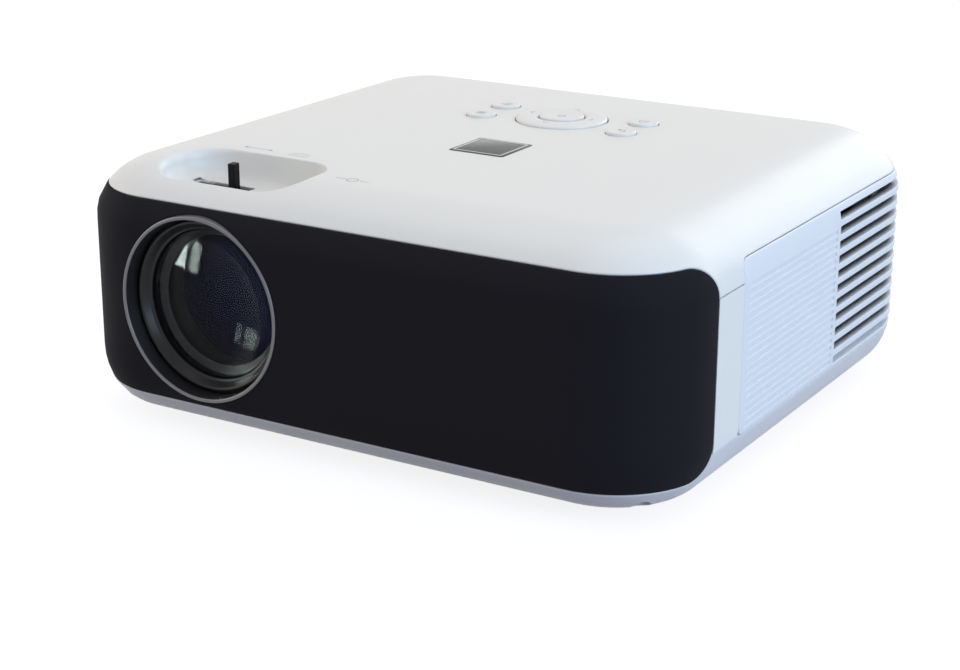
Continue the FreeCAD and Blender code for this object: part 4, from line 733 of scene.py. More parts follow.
side_line = spread(side_outline(-SEAM / 2), PATTERN_STEP)
side_inside = wall_grid(RIGHT_SIDE - 20, BACK - FLAT_X - 2, 18, 83)
right_side = skin("right_panel_skin", on_wall, side_line, vent_slots() + grooves(76), side_inside,
                  ["right_side_panel"])
door_line = rounded(SIDE_MIDDLE + DOOR[0] - DOOR_GAP, SIDE_MIDDLE + DOOR[1] + DOOR_GAP,
                    DOOR[2] - DOOR_GAP, DOOR[3] + DOOR_GAP, 1.3, 3)
left_holes = vent_slots(DOOR[2] - 4, DOOR[1] + 8) + grooves(DOOR[2] - 3)
left_holes.append((spread(door_line, PATTERN_STEP), WALL, 0.35))
left_side = skin("left_panel_skin", on_left_wall, side_line, left_holes, side_inside,
                 ["left_side_panel"])
print("side panels:", len(right_side.data.vertices), "and", len(left_side.data.vertices), "points")

# %% [markdown]
# ## The tray's door
# The disc tray carries a strip of the same panel, which closes the opening.  It holds the eject
# button, and a pinhole for pushing the tray out by hand.
# %% Tray door
HOLE_EDGE = 0.25  # radius round the small holes
EJECT = SIDE_MIDDLE + 57.0
EJECT_HALF, EJECT_LOW, EJECT_HIGH = 5.3, 71.7, 75.9
PINHOLE, PINHOLE_Z, PINHOLE_R = EJECT - 14, 73.8, 0.7
door = rounded(SIDE_MIDDLE + DOOR[0], SIDE_MIDDLE + DOOR[1], *DOOR[2:], 0.9, 3)
eject_hole = rounded(EJECT - EJECT_HALF, EJECT + EJECT_HALF, EJECT_LOW, EJECT_HIGH, 1.6, 6)
door_holes = [(eject_hole, WALL, HOLE_EDGE),
              (circle(PINHOLE, PINHOLE_Z, PINHOLE_R, 16), WALL, 0.1)]
tray_door = skin("tray_door_skin", on_left_wall, spread(door, PATTERN_STEP), door_holes,
                 wall_grid(door[0].x - 130, door[0].x, 68, 79), ["tray_bezel"],
                 body="disc_tray")
print("tray door:", len(tray_door.data.vertices), "points")

# %% [markdown]
# ## Rear panel
# Two plates are set in the rear panel, one with the sockets and one with the mains inlet, so that
# they can be changed without a new panel.
# %% Rear panel and its plates
SOCKET_Z, FIT = 58.6, 0.3  # FIT is the room left round each socket
SOCKET_PLATE, INLET_PLATE = (-88.0, 66.0, 49.0, 69.0), (-84.0, -48.0, 19.0, 41.0)
PLATE_GAP = 0.2
JACK_R, JACKS_X = 3.5, (44, 56)
VENT_HALF, VENT_Z = 1.2, (20, 42)
WINDOW, WINDOW_R = (76, 70), 5.15
PANEL_GAP = 0.15  # how far the rear panel stays inside its nominal outline


def on_rear(x, z, depth=0.0):
    return on_wall(BACK - x, z, depth)


def rear_hole(x, z, wide, tall):
    across, up = wide / 2 + FIT, tall / 2 + FIT
    return rounded(x - across, x + across, z - up, z + up, 0.8), WALL, HOLE_EDGE


def rear_skin(name, outline, holes, node):
    xs, zs = [p.x for p in outline], [p.y for p in outline]
    inside = [Vector((x, z)) for x in range(int(min(xs)) + 3, int(max(xs)), 5)
              for z in range(int(min(zs)) + 3, int(max(zs)), 5)]
    return skin(name, on_rear, spread(outline, 4.0), holes, inside, [node])


vents = [(rounded(x - VENT_HALF, x + VENT_HALF, *VENT_Z, 1.1), WALL, HOLE_EDGE)
         for x in range(8, 81, 6)]
plate_holes = [(rounded(x0 - PLATE_GAP, x1 + PLATE_GAP, z0 - PLATE_GAP, z1 + PLATE_GAP, 2.2, 6),
                WALL, HOLE_EDGE) for x0, x1, z0, z1 in (SOCKET_PLATE, INLET_PLATE)]
window_hole = (circle(*WINDOW, WINDOW_R, 40), WALL, HOLE_EDGE)
rear_line = rounded(-FLAT_X + PANEL_GAP, FLAT_X - PANEL_GAP, REAR_LOW + PANEL_GAP,
                    REAR_HIGH - PANEL_GAP, REAR_R - PANEL_GAP, 5)
rear_skin("rear_panel_skin", rear_line, vents + plate_holes + [window_hole], "rear_panel")
sockets = [rear_hole(-74, SOCKET_Z, 15.6, 6.2), rear_hole(-50, SOCKET_Z, 14.2, 7.2),
           rear_hole(14, SOCKET_Z + 1, 31, 12.6), rear_hole(-20, SOCKET_Z, 25, 3.4)]
sockets += [(circle(x, SOCKET_Z, JACK_R, 32), WALL, HOLE_EDGE) for x in JACKS_X]
rear_skin("socket_plate_skin", rounded(*SOCKET_PLATE, 2.0, 6), sockets, "socket_plate")
rear_skin("inlet_plate_skin", rounded(*INLET_PLATE, 2.0, 6), [rear_hole(-66, 30, 24, 16)],
          "inlet_plate")
print("rear openings:", len(sockets) + 2 + len(vents))

# %% [markdown]
# ## Turned parts: the lens
# The trim ring, the barrel and the glass are round about the lens axis, so each is drawn as half
# a section, of pairs (radius, distance forwards), and spun.  A Screw modifier would do it too, but
# code keeps the steps and the shading the same on every part.
# %% A lathe
def rounded_section(points, steps=4):
    """The section with each corner that has a third number rounded to that radius."""
    result, flat = [], [Vector(point[:2]) for point in points]
    for before, here, after, point in zip(flat[-1:] + flat, flat, flat[1:] + flat[:1], points):
        if len(point) < 3:
            result.append(here)
            continue
        back, on = before - here, after - here
        reach = min(point[2], back.length * 0.49, on.length * 0.49)
        a, b = here + back.normalized() * reach, here + on.normalized() * reach
        for t in (step / steps for step in range(steps + 1)):
            result.append(a * (1 - t) ** 2 + here * (2 * t * (1 - t)) + b * t ** 2)
    return result


def lathe(name, section, centre, axis, body, nodes, steps, smooth_angle=35):
    """Spins a closed section about an axis: "y" for the lens, "z" for the keys."""
    points = []
    for step in range(steps):
        a = 2 * math.pi * step / steps
        for r, along in section:
            x, other = centre[0] + r * math.cos(a), centre[1] + r * math.sin(a)
            points.append(Vector((x, -along, other) if axis == "y" else (x, other, along)))
    faces = bands(0, steps, len(section), closed=True)
    return settle(build_mesh(name, points, faces, smooth_angle), body, nodes)


def ball_section(radius, rim, rise, back, sag, steps=48):
    """Half a section of a glass: two ball faces and a ground rim between them."""
    across = [radius * k / steps for k in range(steps + 1)]

    def cap(height):
        ball = (radius ** 2 + height ** 2) / (2 * height)
        return [math.sqrt(ball ** 2 - r ** 2) - ball + height for r in across]

    front = [Vector((r, rim + h)) for r, h in zip(across, cap(rise))]
    return front + [Vector((r, back - h)) for r, h in zip(across, cap(sag))][::-1]


print("points of a sample glass:", len(ball_section(10.0, 2.0, 1.0, 0.0, 1.0)))

# %% [markdown]
# The trim ring lies round the hole of the front panel.  The barrel holds the glass in a conical
# seat, and the glass's ground edge is painted black, as on a real lens, so that no light comes in
# round it.
# %% Trim ring, barrel and front glass
LENS_STEPS = 160
trim = rounded_section([(35.55, 118.0), (35.55, 126.39, 0.8), (TRIM_R, 126.39, 0.75),
                        (TRIM_R, 118.0)])
lathe("lens_trim", trim, LENS, "y", "housing", ["lens_trim_ring"], LENS_STEPS)
barrel = rounded_section([
    (34.1, 120.2, 0.6), (34.1, 102.5), (28.22, 102.5), (28.22, 67.0), (22.0, 67.0), (22.0, 75.0),
    (24.0, 75.0), (24.0, 95.0), (26.0, 95.0), (26.0, 105.0), (26.0, 109.6), (29.6, 111.3),
    (30.1, 111.3), (30.1, 116.6, 0.3), (31.0, 117.2, 0.4), (33.0, 120.2, 0.6)])
lathe("lens_barrel", barrel, LENS, "y", "lens_cell", ["lens_cell"], LENS_STEPS)
paint = rounded_section([(29.42, 111.35), (29.42, 114.75), (29.95, 114.75), (29.95, 111.35)])
lathe("glass_edge_paint", paint, LENS, "y", "lens_cell", [], LENS_STEPS)
front_glass = ball_section(29.4, 114.7, 5.6, 111.4, 7.0)
lathe("front_glass", front_glass, LENS, "y", "lens_cell", ["front_lens"],
      LENS_STEPS, 60)
print("lens pieces:", 4)

# %% [markdown]
# Behind the front glass stand two smaller ones.  From the front they are a dark pool with a faint
# violet shine, because the box behind them is black and their coating stops most reflections.
# Their material draws them opaque and near black: painted shade for the dark box seen through them.
# %% Inner lenses
INNER = (("middle_glass", 25.9, 99.0, 95.1, ["rear_lenses"]), ("rear_glass", 23.9, 79.0, 75.1, []))
for name, radius, rim, back, nodes in INNER:
    section = ball_section(radius, rim, 2.4, back, 0.02, 32)
    lathe(name, section, LENS, "y", "lens_cell", nodes, 96, 60)
print("inner lenses:", 2)

# %% [markdown]
# ## Keys
# Each key is a moulding with a rounded edge and a shallow dish for the fingertip, turned on the
# same lathe about an upright axis, so that the dish and the edge share one smooth section.
# %% Keys
KEY_R, OK_R = 6.3, 9.6
DISH, OK_DISH = 0.25, 0.45  # how deep the dishes are in the middle
KEY_TOP, OK_TOP, KEY_LOW = 101.2, 101.9, 94.9


def key_section(radius, top, dish):
    face = [(radius * 0.86 * k / 8, top - dish * (1 - (k / 8) ** 2)) for k in range(9)]
    return rounded_section(face + [(radius - 0.05, top, 0.8), (radius, KEY_LOW), (0.0, KEY_LOW)])


for key, (dx, dy) in KEY_PLACES.items():
    lathe(key + "_key", key_section(KEY_R, KEY_TOP, DISH), (KEYS.x + dx, KEYS.y + dy), "z",
          key + "_button", [key + "_button"], 64)
lathe("ok_key", key_section(OK_R, OK_TOP, OK_DISH), KEYS, "z", "ok_button", ["ok_button"],
      96)
ring_section = rounded_section([(10.3, 95.0), (10.3, 101.15, 0.6), (12.2, 101.5, 1.2),
                                (16.8, 101.5, 2.0), (19.6, 100.9, 0.9), (19.6, 96.2), (21.2, 96.2),
                                (21.2, 95.0)], 5)
lathe("direction_ring", ring_section, KEYS, "z", "nav_ring", ["nav_ring"], 128)
print("keys:", len(KEY_PLACES) + 2)

# %% [markdown]
# ## Printed marks
# The icons are pad printed.  They could be painted in the material, but a thin mesh stays sharp at
# any distance and survives export.  Every mark is generic: a power ring, a source arrow, three menu
# bars, a return arrow, four chevrons, and small signs beside the finger pocket.
# %% Printed marks
INK, THIN, LINE = 0.03, 0.4, 0.42  # height of the ink, and the widths of the lines


def stroke(points, width):
    """A line of some width through the points, as one closed outline."""
    left, right = [], []
    for before, p, after in zip(points[:1] + points, points, points[1:] + points[-1:]):
        way = (after - before).normalized()
        side = Vector((-way.y, way.x)) * (width / 2)
        left.append(p + side)
        right.append(p - side)
    return left + right[::-1]


def vectors(*pairs):
    return [Vector(p) for p in pairs]


def arc(x, y, r, first, last, steps=20):
    return vectors(*turn((x, y), r, first, last, steps))


def printed(name, outlines, centre, height, body, dish=0.0, reach=1.0):
    """Thin flat marks at a height; on a dished key they follow the dish."""
    points, faces = [], []
    for outline in outlines:
        first, count = len(points), len(outline)
        for p in outline:
            drop = dish * (1 - min(1, p.length / reach) ** 2)
            points.append(Vector((centre[0] + p.x, centre[1] + p.y, height + INK - drop)))
        if count % 2 or count < 5:
            faces.append(tuple(range(first, first + count)))
        else:
            last = first + count - 1
            faces += [(first + k, first + k + 1, last - k - 1, last - k)
                      for k in range(count // 2 - 1)]
    return settle(build_mesh(name, points, faces), body, [])


def line(*pairs, width=THIN):
    return stroke(vectors(*pairs), width)


print("points of a ring mark:", len(stroke(arc(0, 0, 1.5, 0, 360, 32), THIN)))

# %% [markdown]
# The marks on the keys lie in the keys' dishes, so each point sinks with the dish under it.
# %% Marks on the keys
power_mark = [stroke(arc(0, 0, 1.9, 120, 420), LINE), line((0, 0.5), (0, 2.5), width=LINE)]
source_mark = [line((-0.4, 1.9), (2.3, 1.9), (2.3, -1.9), (-0.4, -1.9)), line((-2.6, 0), (0.4, 0)),
               vectors((0.2, 1.1), (0.2, -1.1), (1.3, 0))]
menu_mark = [line((-2.0, y), (2.0, y), width=LINE) for y in (-1.4, 0, 1.4)]
back_mark = [stroke(arc(0.3, -0.1, 1.5, -90, 90), LINE), line((-1.2, 1.4), (0.3, 1.4), width=LINE),
             vectors((-0.9, 2.4), (-0.9, 0.4), (-2.4, 1.4))]
for key, mark in zip(KEY_PLACES, (power_mark, source_mark, menu_mark, back_mark)):
    dx, dy = KEY_PLACES[key]
    printed(key + "_mark", mark, (KEYS.x + dx, KEYS.y + dy), KEY_TOP, key + "_button", DISH, 5.4)
tip = vectors((13.7, 1.3), (15.2, 0), (13.7, -1.3))
chevrons = [stroke([Matrix.Rotation(math.radians(angle), 2) @ p for p in tip], THIN)
            for angle in (0, 90, 180, 270)]
printed("direction_marks", chevrons, KEYS, 101.5, "nav_ring")
printed("ok_mark", [stroke(arc(0, 0, 1.5, 0, 360, 32), THIN)], KEYS, OK_TOP, "ok_button",
        OK_DISH, 8.3)
print("marks on the keys:", len(KEY_PLACES) + 2)

# %% [markdown]
# Beside the pocket, a double arrow stands for sliding, a keystone for the lever, and a lens between
# two lines for the wheel.
# %% Signs beside the pocket
slide_mark = [line((-5.5, 0), (5.5, 0)), vectors((-7.3, 0), (-5.3, -1.0), (-5.3, 1.0)),
              vectors((7.3, 0), (5.3, 1.0), (5.3, -1.0))]
keystone_mark = [line((-3.2, 1.7), (3.2, 1.7), (4.8, -1.7), (-4.8, -1.7), (-3.2, 1.7))]
focus_mark = [stroke(arc(0, 0, 2.2, 0, 360, 32), THIN), line((-7.4, 0), (-3.2, 0)),
              line((3.2, 0), (7.4, 0))]
for name, mark, place in (("slide_mark", slide_mark, (-76.5, -68.6)),
                          ("keystone_mark", keystone_mark, (-55.8, -69.0)),
                          ("focus_mark", focus_mark, (-15.0, -91.5))):
    printed(name, mark, place, HEIGHT, "housing")
print("signs:", 3)

# %% [markdown]
# ## Badge plate
# A small square of dark glossy acrylic lies in a shallow pit in the top.  A thin bright line runs
# just inside its edge, and it carries nothing else.
# %% Badge plate
BADGE_LOW, BADGE_HIGH, BADGE_EDGE, RIM_Z = 99.3, 100.2, 0.2, 100.23
levels = [(0.0, BADGE_LOW)]
for a in (0, 0.52, 1.05, 1.57):
    inwards, sunk = BADGE_EDGE * (1 - math.cos(a)), BADGE_EDGE * (1 - math.sin(a))
    levels.append((inwards, BADGE_HIGH - sunk))
outline = square(12.5, 1.0)
rows, count = len(levels), len(outline)
points = [Vector((p.x, p.y, z)) for inwards, z in levels for p in moved(outline, inwards)]
ends = [tuple(range(rows * count - count, rows * count)), tuple(range(count))[::-1]]
badge = build_mesh("badge", points, bands(0, rows, count) + ends)
settle(badge, "housing", ["badge_plate"])
rim_line = square(11.3, 0.7) + square(10.5, 0.5)
badge_rim = build_mesh("badge_rim", [Vector((p.x, p.y, RIM_Z)) for p in rim_line],
                       bands(0, 2, len(rim_line) // 2))
settle(badge_rim, "housing", [])
print("badge:", 25, "mm square")

# %% [markdown]
# ## Colours and nodes
# Colours are sRGB hex values, as a colour card gives them, turned to linear light by one function.
# A second one adds a node with its settings and links.  Patterns are placed by object coordinates,
# in metres, so a grain keeps its size on every piece.
# %% Colour and node helpers
def linear(hex_colour):
    """An sRGB hex value as linear red, green, blue and alpha."""
    parts = [int(hex_colour[k:k + 2], 16) / 255 for k in (0, 2, 4)]
    return [p / 12.92 if p <= 0.04045 else ((p + 0.055) / 1.055) ** 2.4 for p in parts] + [1.0]


def darker(hex_colour, share):
    return [c * share for c in linear(hex_colour)[:3]] + [1.0]


def add(tree, kind, inputs=None, **settings):
    """Adds a node; an input is a value, or a pair (node, output) that is linked to it."""
    new = tree.nodes.new("ShaderNode" + kind)
    for key, value in settings.items():
        setattr(new, key, value)
    for key, value in (inputs or {}).items():
        if isinstance(value, tuple) and isinstance(value[0], bpy.types.Node):
            tree.links.new(value[0].outputs[value[1]], new.inputs[key])
        else:
            new.inputs[key].default_value = value
    return new


def start(name):
    """A material with an empty tree, and the object's own coordinates in it."""
    material = bpy.data.materials.new(name)
    material.use_nodes = True
    tree = material.node_tree
    tree.nodes.clear()
    place = add(tree, "TexCoord")
    return material, tree, (place, "Object")


def finish(material, tree, shader):
    add(tree, "OutputMaterial", {"Surface": (shader, 0)})
    return material


def per_metre(millimetres):
    """Scale of a pattern whose grains are so many millimetres across."""
    return 1 / (millimetres * MM)


def dress(material, *names):
    """Gives a material to the CAD nodes and pieces of these names."""
    for name in names:
        target = NODES.get(name) or bpy.data.objects[name]
        target.data.materials.clear()
        target.data.materials.append(material)


def keys_and(ending, *more):
    return [key + ending for key in KEY_PLACES] + list(more)


print("white in linear light:", [round(v, 3) for v in linear("e9e9eb")])

# %% [markdown]
# ## Moulded plastics
# Nearly everything that shows is ABS, whose index of refraction is near 1.54.  The tool's finish
# decides the gloss: polished for the top, spark-eroded for the side panels and the black front.
# A slight change of gloss over a few centimetres, as from handling, and a fine grain or waviness
# break up the flat colour.
# %% White plastics
def moulded(name, colour, roughness, gloss_range, grain, depth, ior=1.54, shade=0.02, level=0.5):
    """grain and depth are the texture's size and height in mm; shade darkens the tint a little."""
    material, tree, where = start(name)
    handled = add(tree, "TexNoise", {"Vector": where, "Scale": per_metre(22), "Detail": 3.0})
    gloss = add(tree, "MapRange", {
        "Value": (handled, 0), "From Min": 0.3, "From Max": 0.7,
        "To Min": roughness - gloss_range, "To Max": roughness + gloss_range})
    tint = add(tree, "MixRGB", {0: (handled, 0), 1: darker(colour, 1 - shade), 2: linear(colour)})
    texture = add(tree, "TexNoise", {"Vector": where, "Scale": per_metre(grain), "Detail": 2.0})
    bump = add(tree, "Bump", {"Height": (texture, 0), "Strength": 0.6, "Distance": depth * MM})
    return finish(material, tree, add(tree, "BsdfPrincipled", {
        "Base Color": (tint, 0), "Roughness": (gloss, 0), "Normal": (bump, 0), "IOR": ior,
        "Specular IOR Level": level}))


# Polished tool: a soft gloss, with faint waves 3 mm across, as sink marks over ribs are.
dress(moulded("polished_white_abs", "e6e5e2", 0.34, 0.03, 3.0, 0.012, level=0.35),
      "top_cover_skin", "chassis_band", "front_frame", "rear_frame")
# A duller tool, and the white greyed and cooled as painted shade for the belly's downward curve:
# the base reads as a darker band under the shell.
dress(moulded("grey_abs_painted_shade", "d2d1d8", 0.42, 0.03, 3.0, 0.012, level=0.3),
      "bottom_cover_skin")
# Spark-eroded tool: an even sheen with no reflections.  Its grain of about 0.05 mm is drawn at
# 0.35 mm, so that it shows.
# Its white is cooler than the top's: partly the panels' own tone, partly the window lamp's bluish
# light painted into the colour.
panels = moulded("eroded_white_abs", "e2e5ea", 0.46, 0.03, 0.35, 0.012, level=0.35)
dress(panels, "right_panel_skin", "left_panel_skin", "tray_door_skin", "rear_panel_skin",
      "socket_plate_skin", "inlet_plate_skin", "eject_button")
dress(panels, "top_cover", "pocket_tub", "bottom_cover", "front_panel", "right_side_panel",
      "left_side_panel", "rear_panel", "socket_plate", "inlet_plate", "tray_bezel")
# Finely blasted tool: a touch duller than the top, so that the keys can be told from it.
dress(moulded("satin_white_abs", "e5e4e1", 0.36, 0.02, 0.5, 0.006, level=0.35),
      *keys_and("_key", "ok_key", "direction_ring"))
print("white plastics:", 4)

# %% [markdown]
# The black mouldings are coloured through.  The front is the roughest, because a glossy one would
# mirror the room beside the lens; the parts behind it only have to stay dark.
# %% Black plastics
# Deeply spark-eroded tool: matt, with almost no reflection, so the front stays one dark field.
dress(moulded("eroded_black_abs", "222126", 0.64, 0.04, 0.35, 0.010, shade=0.15, level=0.03),
      "front_panel_skin", "glass_edge_paint")
# Plain tool: dull black, for the parts inside and the small ones that a finger touches.
dress(moulded("black_polycarbonate", "151517", 0.50, 0.04, 0.5, 0.010, 1.58, 0.2, 0.1),
      "lens_tube", "optical_box", "fan_frames", "speakers", "power_inlet", "focus_ring",
      "keystone_slider", "exhaust_impeller", "intake_impeller", "disc_tray", "foot_screw")
# Polished tool: the barrel's steps and cone each catch a thin line of light.
dress(moulded("polished_black_polycarbonate", "141416", 0.32, 0.03, 2.0, 0.004, 1.58, 0.1, 0.22),
      "lens_barrel")
print("black plastics:", 3)

# %% [markdown]
# The last plastics are small: slippery acetal in the drive, rubber under the feet, a silicone web
# under the direction ring, cast acrylic that you look through or into, and the ink of the marks.
# %% Soft, clear and printed plastics
# Moulded acetal: waxy, with wide soft highlights.
dress(moulded("grey_acetal", "5c5d60", 0.40, 0.05, 0.6, 0.01, 1.48, 0.1),
      "turntable", "pickup_sled")
# Compression moulded rubber: dead matt and a little dusty.
dress(moulded("black_rubber", "232324", 0.75, 0.05, 0.4, 0.03, 1.52, 0.2),
      "rubber_feet", "foot_pad")
# Silicone: milky, and without a clear reflection.
dress(moulded("translucent_silicone", "b9b9bb", 0.55, 0.04, 1.0, 0.02, 1.41, 0.05), "nav_web")
# Cast acrylic sheet: clear of texture, so it mirrors like glass over its dark colour.
dress(moulded("black_acrylic", "1a1a1d", 0.08, 0.02, 6.0, 0.002, 1.49, 0.1), "badge")
dress(moulded("smoked_acrylic", "2a1216", 0.10, 0.02, 6.0, 0.002, 1.49, 0.1), "ir_window")
# Pad-printed ink: matt, so the marks stay readable where the key shines.
dress(moulded("grey_pad_ink", "9a9ba0", 0.60, 0.03, 0.3, 0.004, 1.5, 0.08), *keys_and(
    "_mark", "direction_marks", "ok_mark", "slide_mark", "keystone_mark", "focus_mark"))
print("other plastics:", 6)

# %% [markdown]
# ## Metals
# Metals have no colour of their own under the reflection, so they are metallic 1 and their gloss
# does the work.  Noise that is stretched along one axis draws the lines of a drawn metal; even
# noise gives a zinc coat its faint crystals.
# %% Metals
def metal(name, colour, roughness, variation, stretch, grain, depth):
    """stretch is how many grains long the marks are along x, y and z."""
    material, tree, where = start(name)
    size = add(tree, "Mapping", {"Vector": where, "Scale": [per_metre(grain) / s for s in stretch]})
    lines = add(tree, "TexNoise", {"Vector": (size, 0), "Scale": 1.0, "Detail": 3.0})
    gloss = add(tree, "MapRange", {
        "Value": (lines, 0), "To Min": roughness - variation, "To Max": roughness + variation})
    tint = add(tree, "MixRGB", {0: (lines, 0), 1: darker(colour, 0.86), 2: linear(colour)})
    bump = add(tree, "Bump", {"Height": (lines, 0), "Strength": 0.5, "Distance": depth * MM})
    return finish(material, tree, add(tree, "BsdfPrincipled", {
        "Base Color": (tint, 0), "Roughness": (gloss, 0), "Normal": (bump, 0), "Metallic": 1.0}))


EVEN = (1, 1, 1)
# Smoked chrome plating on a plastic ring: a dark mirror, blurred by the ring's fine turning.
dress(metal("smoked_chrome_on_abs", "6c6c70", 0.40, 0.05, EVEN, 0.4, 0.004), "lens_trim")
# Extruded aluminium: lines along the fins, where the die has scraped them.
dress(metal("extruded_aluminium", "d2d3d6", 0.34, 0.08, (20, 1, 1), 0.4, 0.01), "heat_sink")
# Zinc plating: a bluish grey with a fine cloudy grain.
dress(metal("zinc_plated_steel", "b4b6bb", 0.32, 0.08, EVEN, 1.2, 0.006), "case_screws")
# Hot-dip galvanised sheet: crystals some millimetres wide, each of its own gloss.
dress(metal("galvanised_steel", "b9bcc2", 0.38, 0.10, EVEN, 3.0, 0.006),
      "mirror_holder", "drive_case", "drive_lid", "drive_motors", "tray_rails")
# Ground steel: the brightest of the metals, with one sharp line of light along a rod.
dress(metal("ground_steel", "cfd0d3", 0.14, 0.04, EVEN, 0.5, 0.001), "guide_rods", "lead_screw")
# Nickel plating: bright, and a little warmer than steel.
dress(metal("nickel_plated_steel", "cdc8c0", 0.18, 0.05, EVEN, 0.8, 0.002), "rear_sockets")
# Brass: the knurling, too fine to model, is drawn as a coarse bump that makes it glitter.
dress(metal("knurled_brass", "d8b36a", 0.30, 0.06, EVEN, 0.6, 0.02), "threaded_inserts")
# Silver on the front of the glass: a true mirror.
dress(metal("front_silvered_glass", "eef0f2", 0.03, 0.01, EVEN, 8.0, 0.0002), "fold_mirror")
# Hot-stamped foil: a bright line, blurred by the plastic under it.
dress(metal("hot_stamped_foil", "c9cace", 0.24, 0.05, EVEN, 0.6, 0.002), "badge_rim")
print("metals:", 9)

# %% [markdown]
# ## Glass and boards
# The lens is optical glass, index 1.52, but its coating leaves only about 0.3 percent of what its
# faces would throw back, as from an index of 1.12, so that index is used.  The inner glasses are
# drawn opaque and near black, as painted shade for the dark box behind them, with the coating's
# violet shine.  Circuit boards are green solder mask over copper, and the lamp's board is white.
# %% Glass and boards
def clear(name, colour, ior, roughness):
    """Polished glass or acrylic with a trace of dust on it."""
    material, tree, where = start(name)
    dust = add(tree, "TexNoise", {"Vector": where, "Scale": per_metre(1.5), "Detail": 4.0})
    haze = add(tree, "MapRange", {"Value": (dust, 0), "From Min": 0.6, "From Max": 0.8,
                                  "To Min": roughness, "To Max": roughness + 0.004})
    return finish(material, tree, add(tree, "BsdfPrincipled", {
        "Base Color": linear(colour), "Roughness": (haze, 0), "IOR": ior,
        "Transmission Weight": 1.0}))


# Polished and coated optical glass: all but invisible, apart from the panes that it mirrors.
dress(clear("coated_optical_glass", "f2f5f6", 1.12, 0.0), "front_glass", "lamp_glasses")
# The glasses behind it, drawn opaque: near black as painted shade for the dark box seen through
# them, with a violet shine.
painted_dark_glass = moulded("violet_coated_glass_painted_dark", "0a0b1c", 0.06, 0.02, 9.0, 0.0005, 1.52, 0.3, 0.04)
shine = painted_dark_glass.node_tree.nodes["Principled BSDF"].inputs["Specular Tint"]
shine.default_value = linear("8e86ff")
dress(painted_dark_glass, "middle_glass", "rear_glass", "rear_lenses")
# Polarising film on glass: grey, and blurred by the film.
dress(clear("polarised_lcd_glass", "5c6670", 1.52, 0.08), "lcd_panel")
# Pressed acrylic: clear, with a slight blur from the mould.
dress(clear("clear_acrylic", "f2f6f6", 1.49, 0.03), "fresnel_lenses", "pickup_lens")
# Solder mask is a lacquer over copper tracks, which show as patches of a darker green.
dress(moulded("green_solder_mask", "1c5a38", 0.35, 0.06, 1.8, 0.02, 1.55, 0.35), "circuit_boards")
# The same lacquer in white, to send the lamp's light forwards.
dress(moulded("white_solder_mask", "dcdcd8", 0.40, 0.05, 1.8, 0.01, 1.55, 0.06), "led_module")
bare = [o.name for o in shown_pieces() if not o.data.materials or not o.data.materials[0].use_nodes]
print("pieces without a material:", bare)

# %% [markdown]
# ## Floor
# The object stands on a large pale sheet.  Rays from the camera, and rays straight off a gloss or
# through glass, see it glow, so that it is white in the picture and still takes the shadow.
# %% Floor
def seen_directly(tree):
    """1 for rays from the camera, off a gloss or through glass, and 0 for all others."""
    path = add(tree, "LightPath")
    seen = add(tree, "Math", {0: (path, "Is Camera Ray"), 1: (path, "Is Glossy Ray")},
               operation="MAXIMUM")
    return add(tree, "Math", {0: (seen, 0), 1: (path, "Is Transmission Ray")}, operation="MAXIMUM")


bpy.ops.mesh.primitive_grid_add(x_subdivisions=24, y_subdivisions=24, size=6.0, location=(0, 0, 0))
floor = bpy.context.object
floor.name = "floor"
material, tree, where = start("white_paper_sheet")
paper = add(tree, "TexNoise", {"Vector": where, "Scale": per_metre(4), "Detail": 4.0})
tone = add(tree, "MixRGB", {0: (paper, 0), 1: linear("8c8c92"), 2: linear("929298")})
matte = add(tree, "BsdfDiffuse", {"Color": (tone, 0)})
glow = add(tree, "Emission", {"Color": (1, 1, 1, 1), "Strength": 0.84})
both = add(tree, "AddShader", {0: (matte, 0), 1: (glow, 0)})
white_seen = add(tree, "MixShader", {0: (seen_directly(tree), 0), 1: (matte, 0), 2: (both, 0)})
floor.data.materials.append(finish(material, tree, white_seen))
print("floor:", floor.dimensions.x, "m wide")

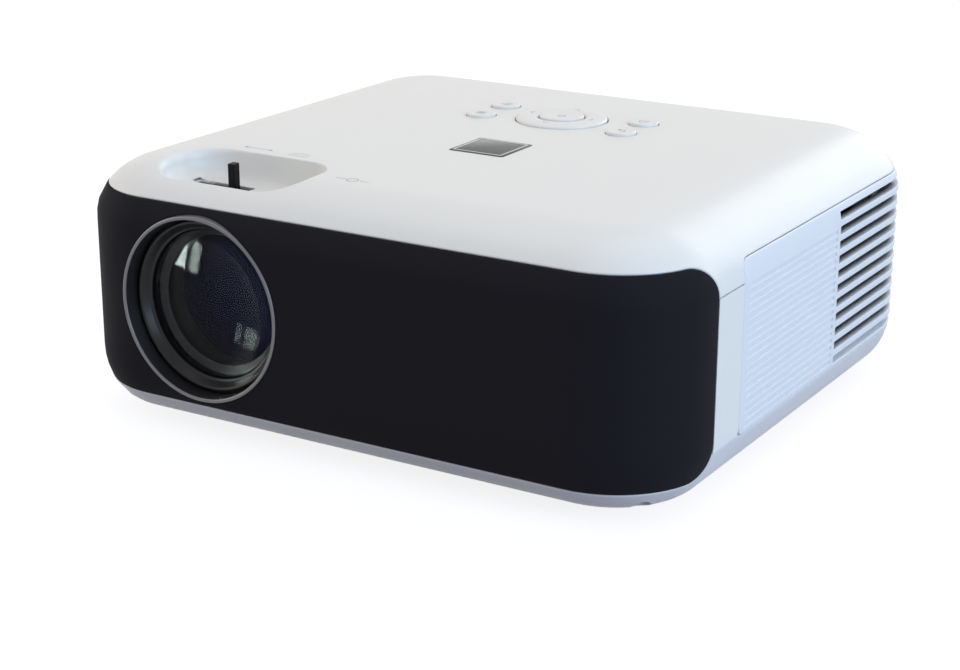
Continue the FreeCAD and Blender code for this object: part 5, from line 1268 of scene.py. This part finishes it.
# %% [markdown]
# ## World
# The world is white to the same rays, and to all others a weaker grey, so that shaded sides keep
# their form.
# %% World
world = bpy.data.worlds.new("studio")
bpy.context.scene.world = world
world.use_nodes = True
tree = world.node_tree
tree.nodes.clear()
grey = add(tree, "Background", {"Color": linear("f3f4f8"), "Strength": 0.56})
white = add(tree, "Background", {"Color": (1, 1, 1, 1), "Strength": 1.0})
mixed = add(tree, "MixShader", {0: (seen_directly(tree), 0), 1: (grey, 0), 2: (white, 0)})
add(tree, "OutputWorld", {"Surface": (mixed, 0)})
print("world nodes:", len(tree.nodes))

# %% [markdown]
# ## Lights
# One big soft lamp on the right is the window side.  A weaker one hangs over the top, and two
# small ones fill the back and the left.
# %% Lights
def soft_light(name, place, wide, tall, power, colour, target=(0, 0, 0.05)):
    data = bpy.data.lights.new(name, "AREA")
    data.shape = "RECTANGLE"
    data.size, data.size_y = wide, tall
    data.energy = power
    data.color = linear(colour)[:3]
    lamp = bpy.data.objects.new(name, data)
    bpy.context.scene.collection.objects.link(lamp)
    lamp.location = place
    lamp.rotation_euler = (Vector(place) - Vector(target)).to_track_quat("Z", "Y").to_euler()
    return lamp


soft_light("window_side", (1.45, -0.35, 0.5), 1.0, 0.8, 14, "c0e0ff")
soft_light("overhead", (-0.1, 0.2, 1.5), 1.4, 1.4, 5.5, "fff8ee")
soft_light("rear_fill", (0.3, 1.5, 0.6), 1.0, 0.8, 5, "fffaf4")
soft_light("left_fill", (-1.3, -0.5, 0.45), 0.9, 0.8, 5, "fffaf4")
print("lamps:", 4)

# %% [markdown]
# Coated glass throws back so little that a lens only looks like one when a bright window is
# mirrored in it.  Three panes stand on the left and, by light linking, light only the glasses.
# %% Panes for the lens
LENS_PLACE = Vector((LENS.x, -118.0, LENS.y + LIFT)) * MM
PANES = ((-82.0, 0.24, 20.0), (-62.5, 0.30, 30.0), (-47.5, 0.13, 8.0))  # azimuth, width, power
AWAY, RAISED, TALL = 1.1, 0.083, 0.265  # metres, from the lens's front and above it
glasses = bpy.data.collections.new("glasses")
for name in ("front_glass", "middle_glass"):
    glasses.objects.link(bpy.data.objects[name])
for k, (azimuth, wide, power) in enumerate(PANES):
    place = LENS_PLACE + direction(math.radians(azimuth), 0.0) * AWAY + Vector((0, 0, RAISED))
    pane = soft_light("pane_" + str(k), place, wide, TALL, power, "dcefe9", LENS_PLACE)
    pane.light_linking.receiver_collection = glasses
bpy.context.scene.view_settings.view_transform = "Standard"
print("panes:", len(PANES))
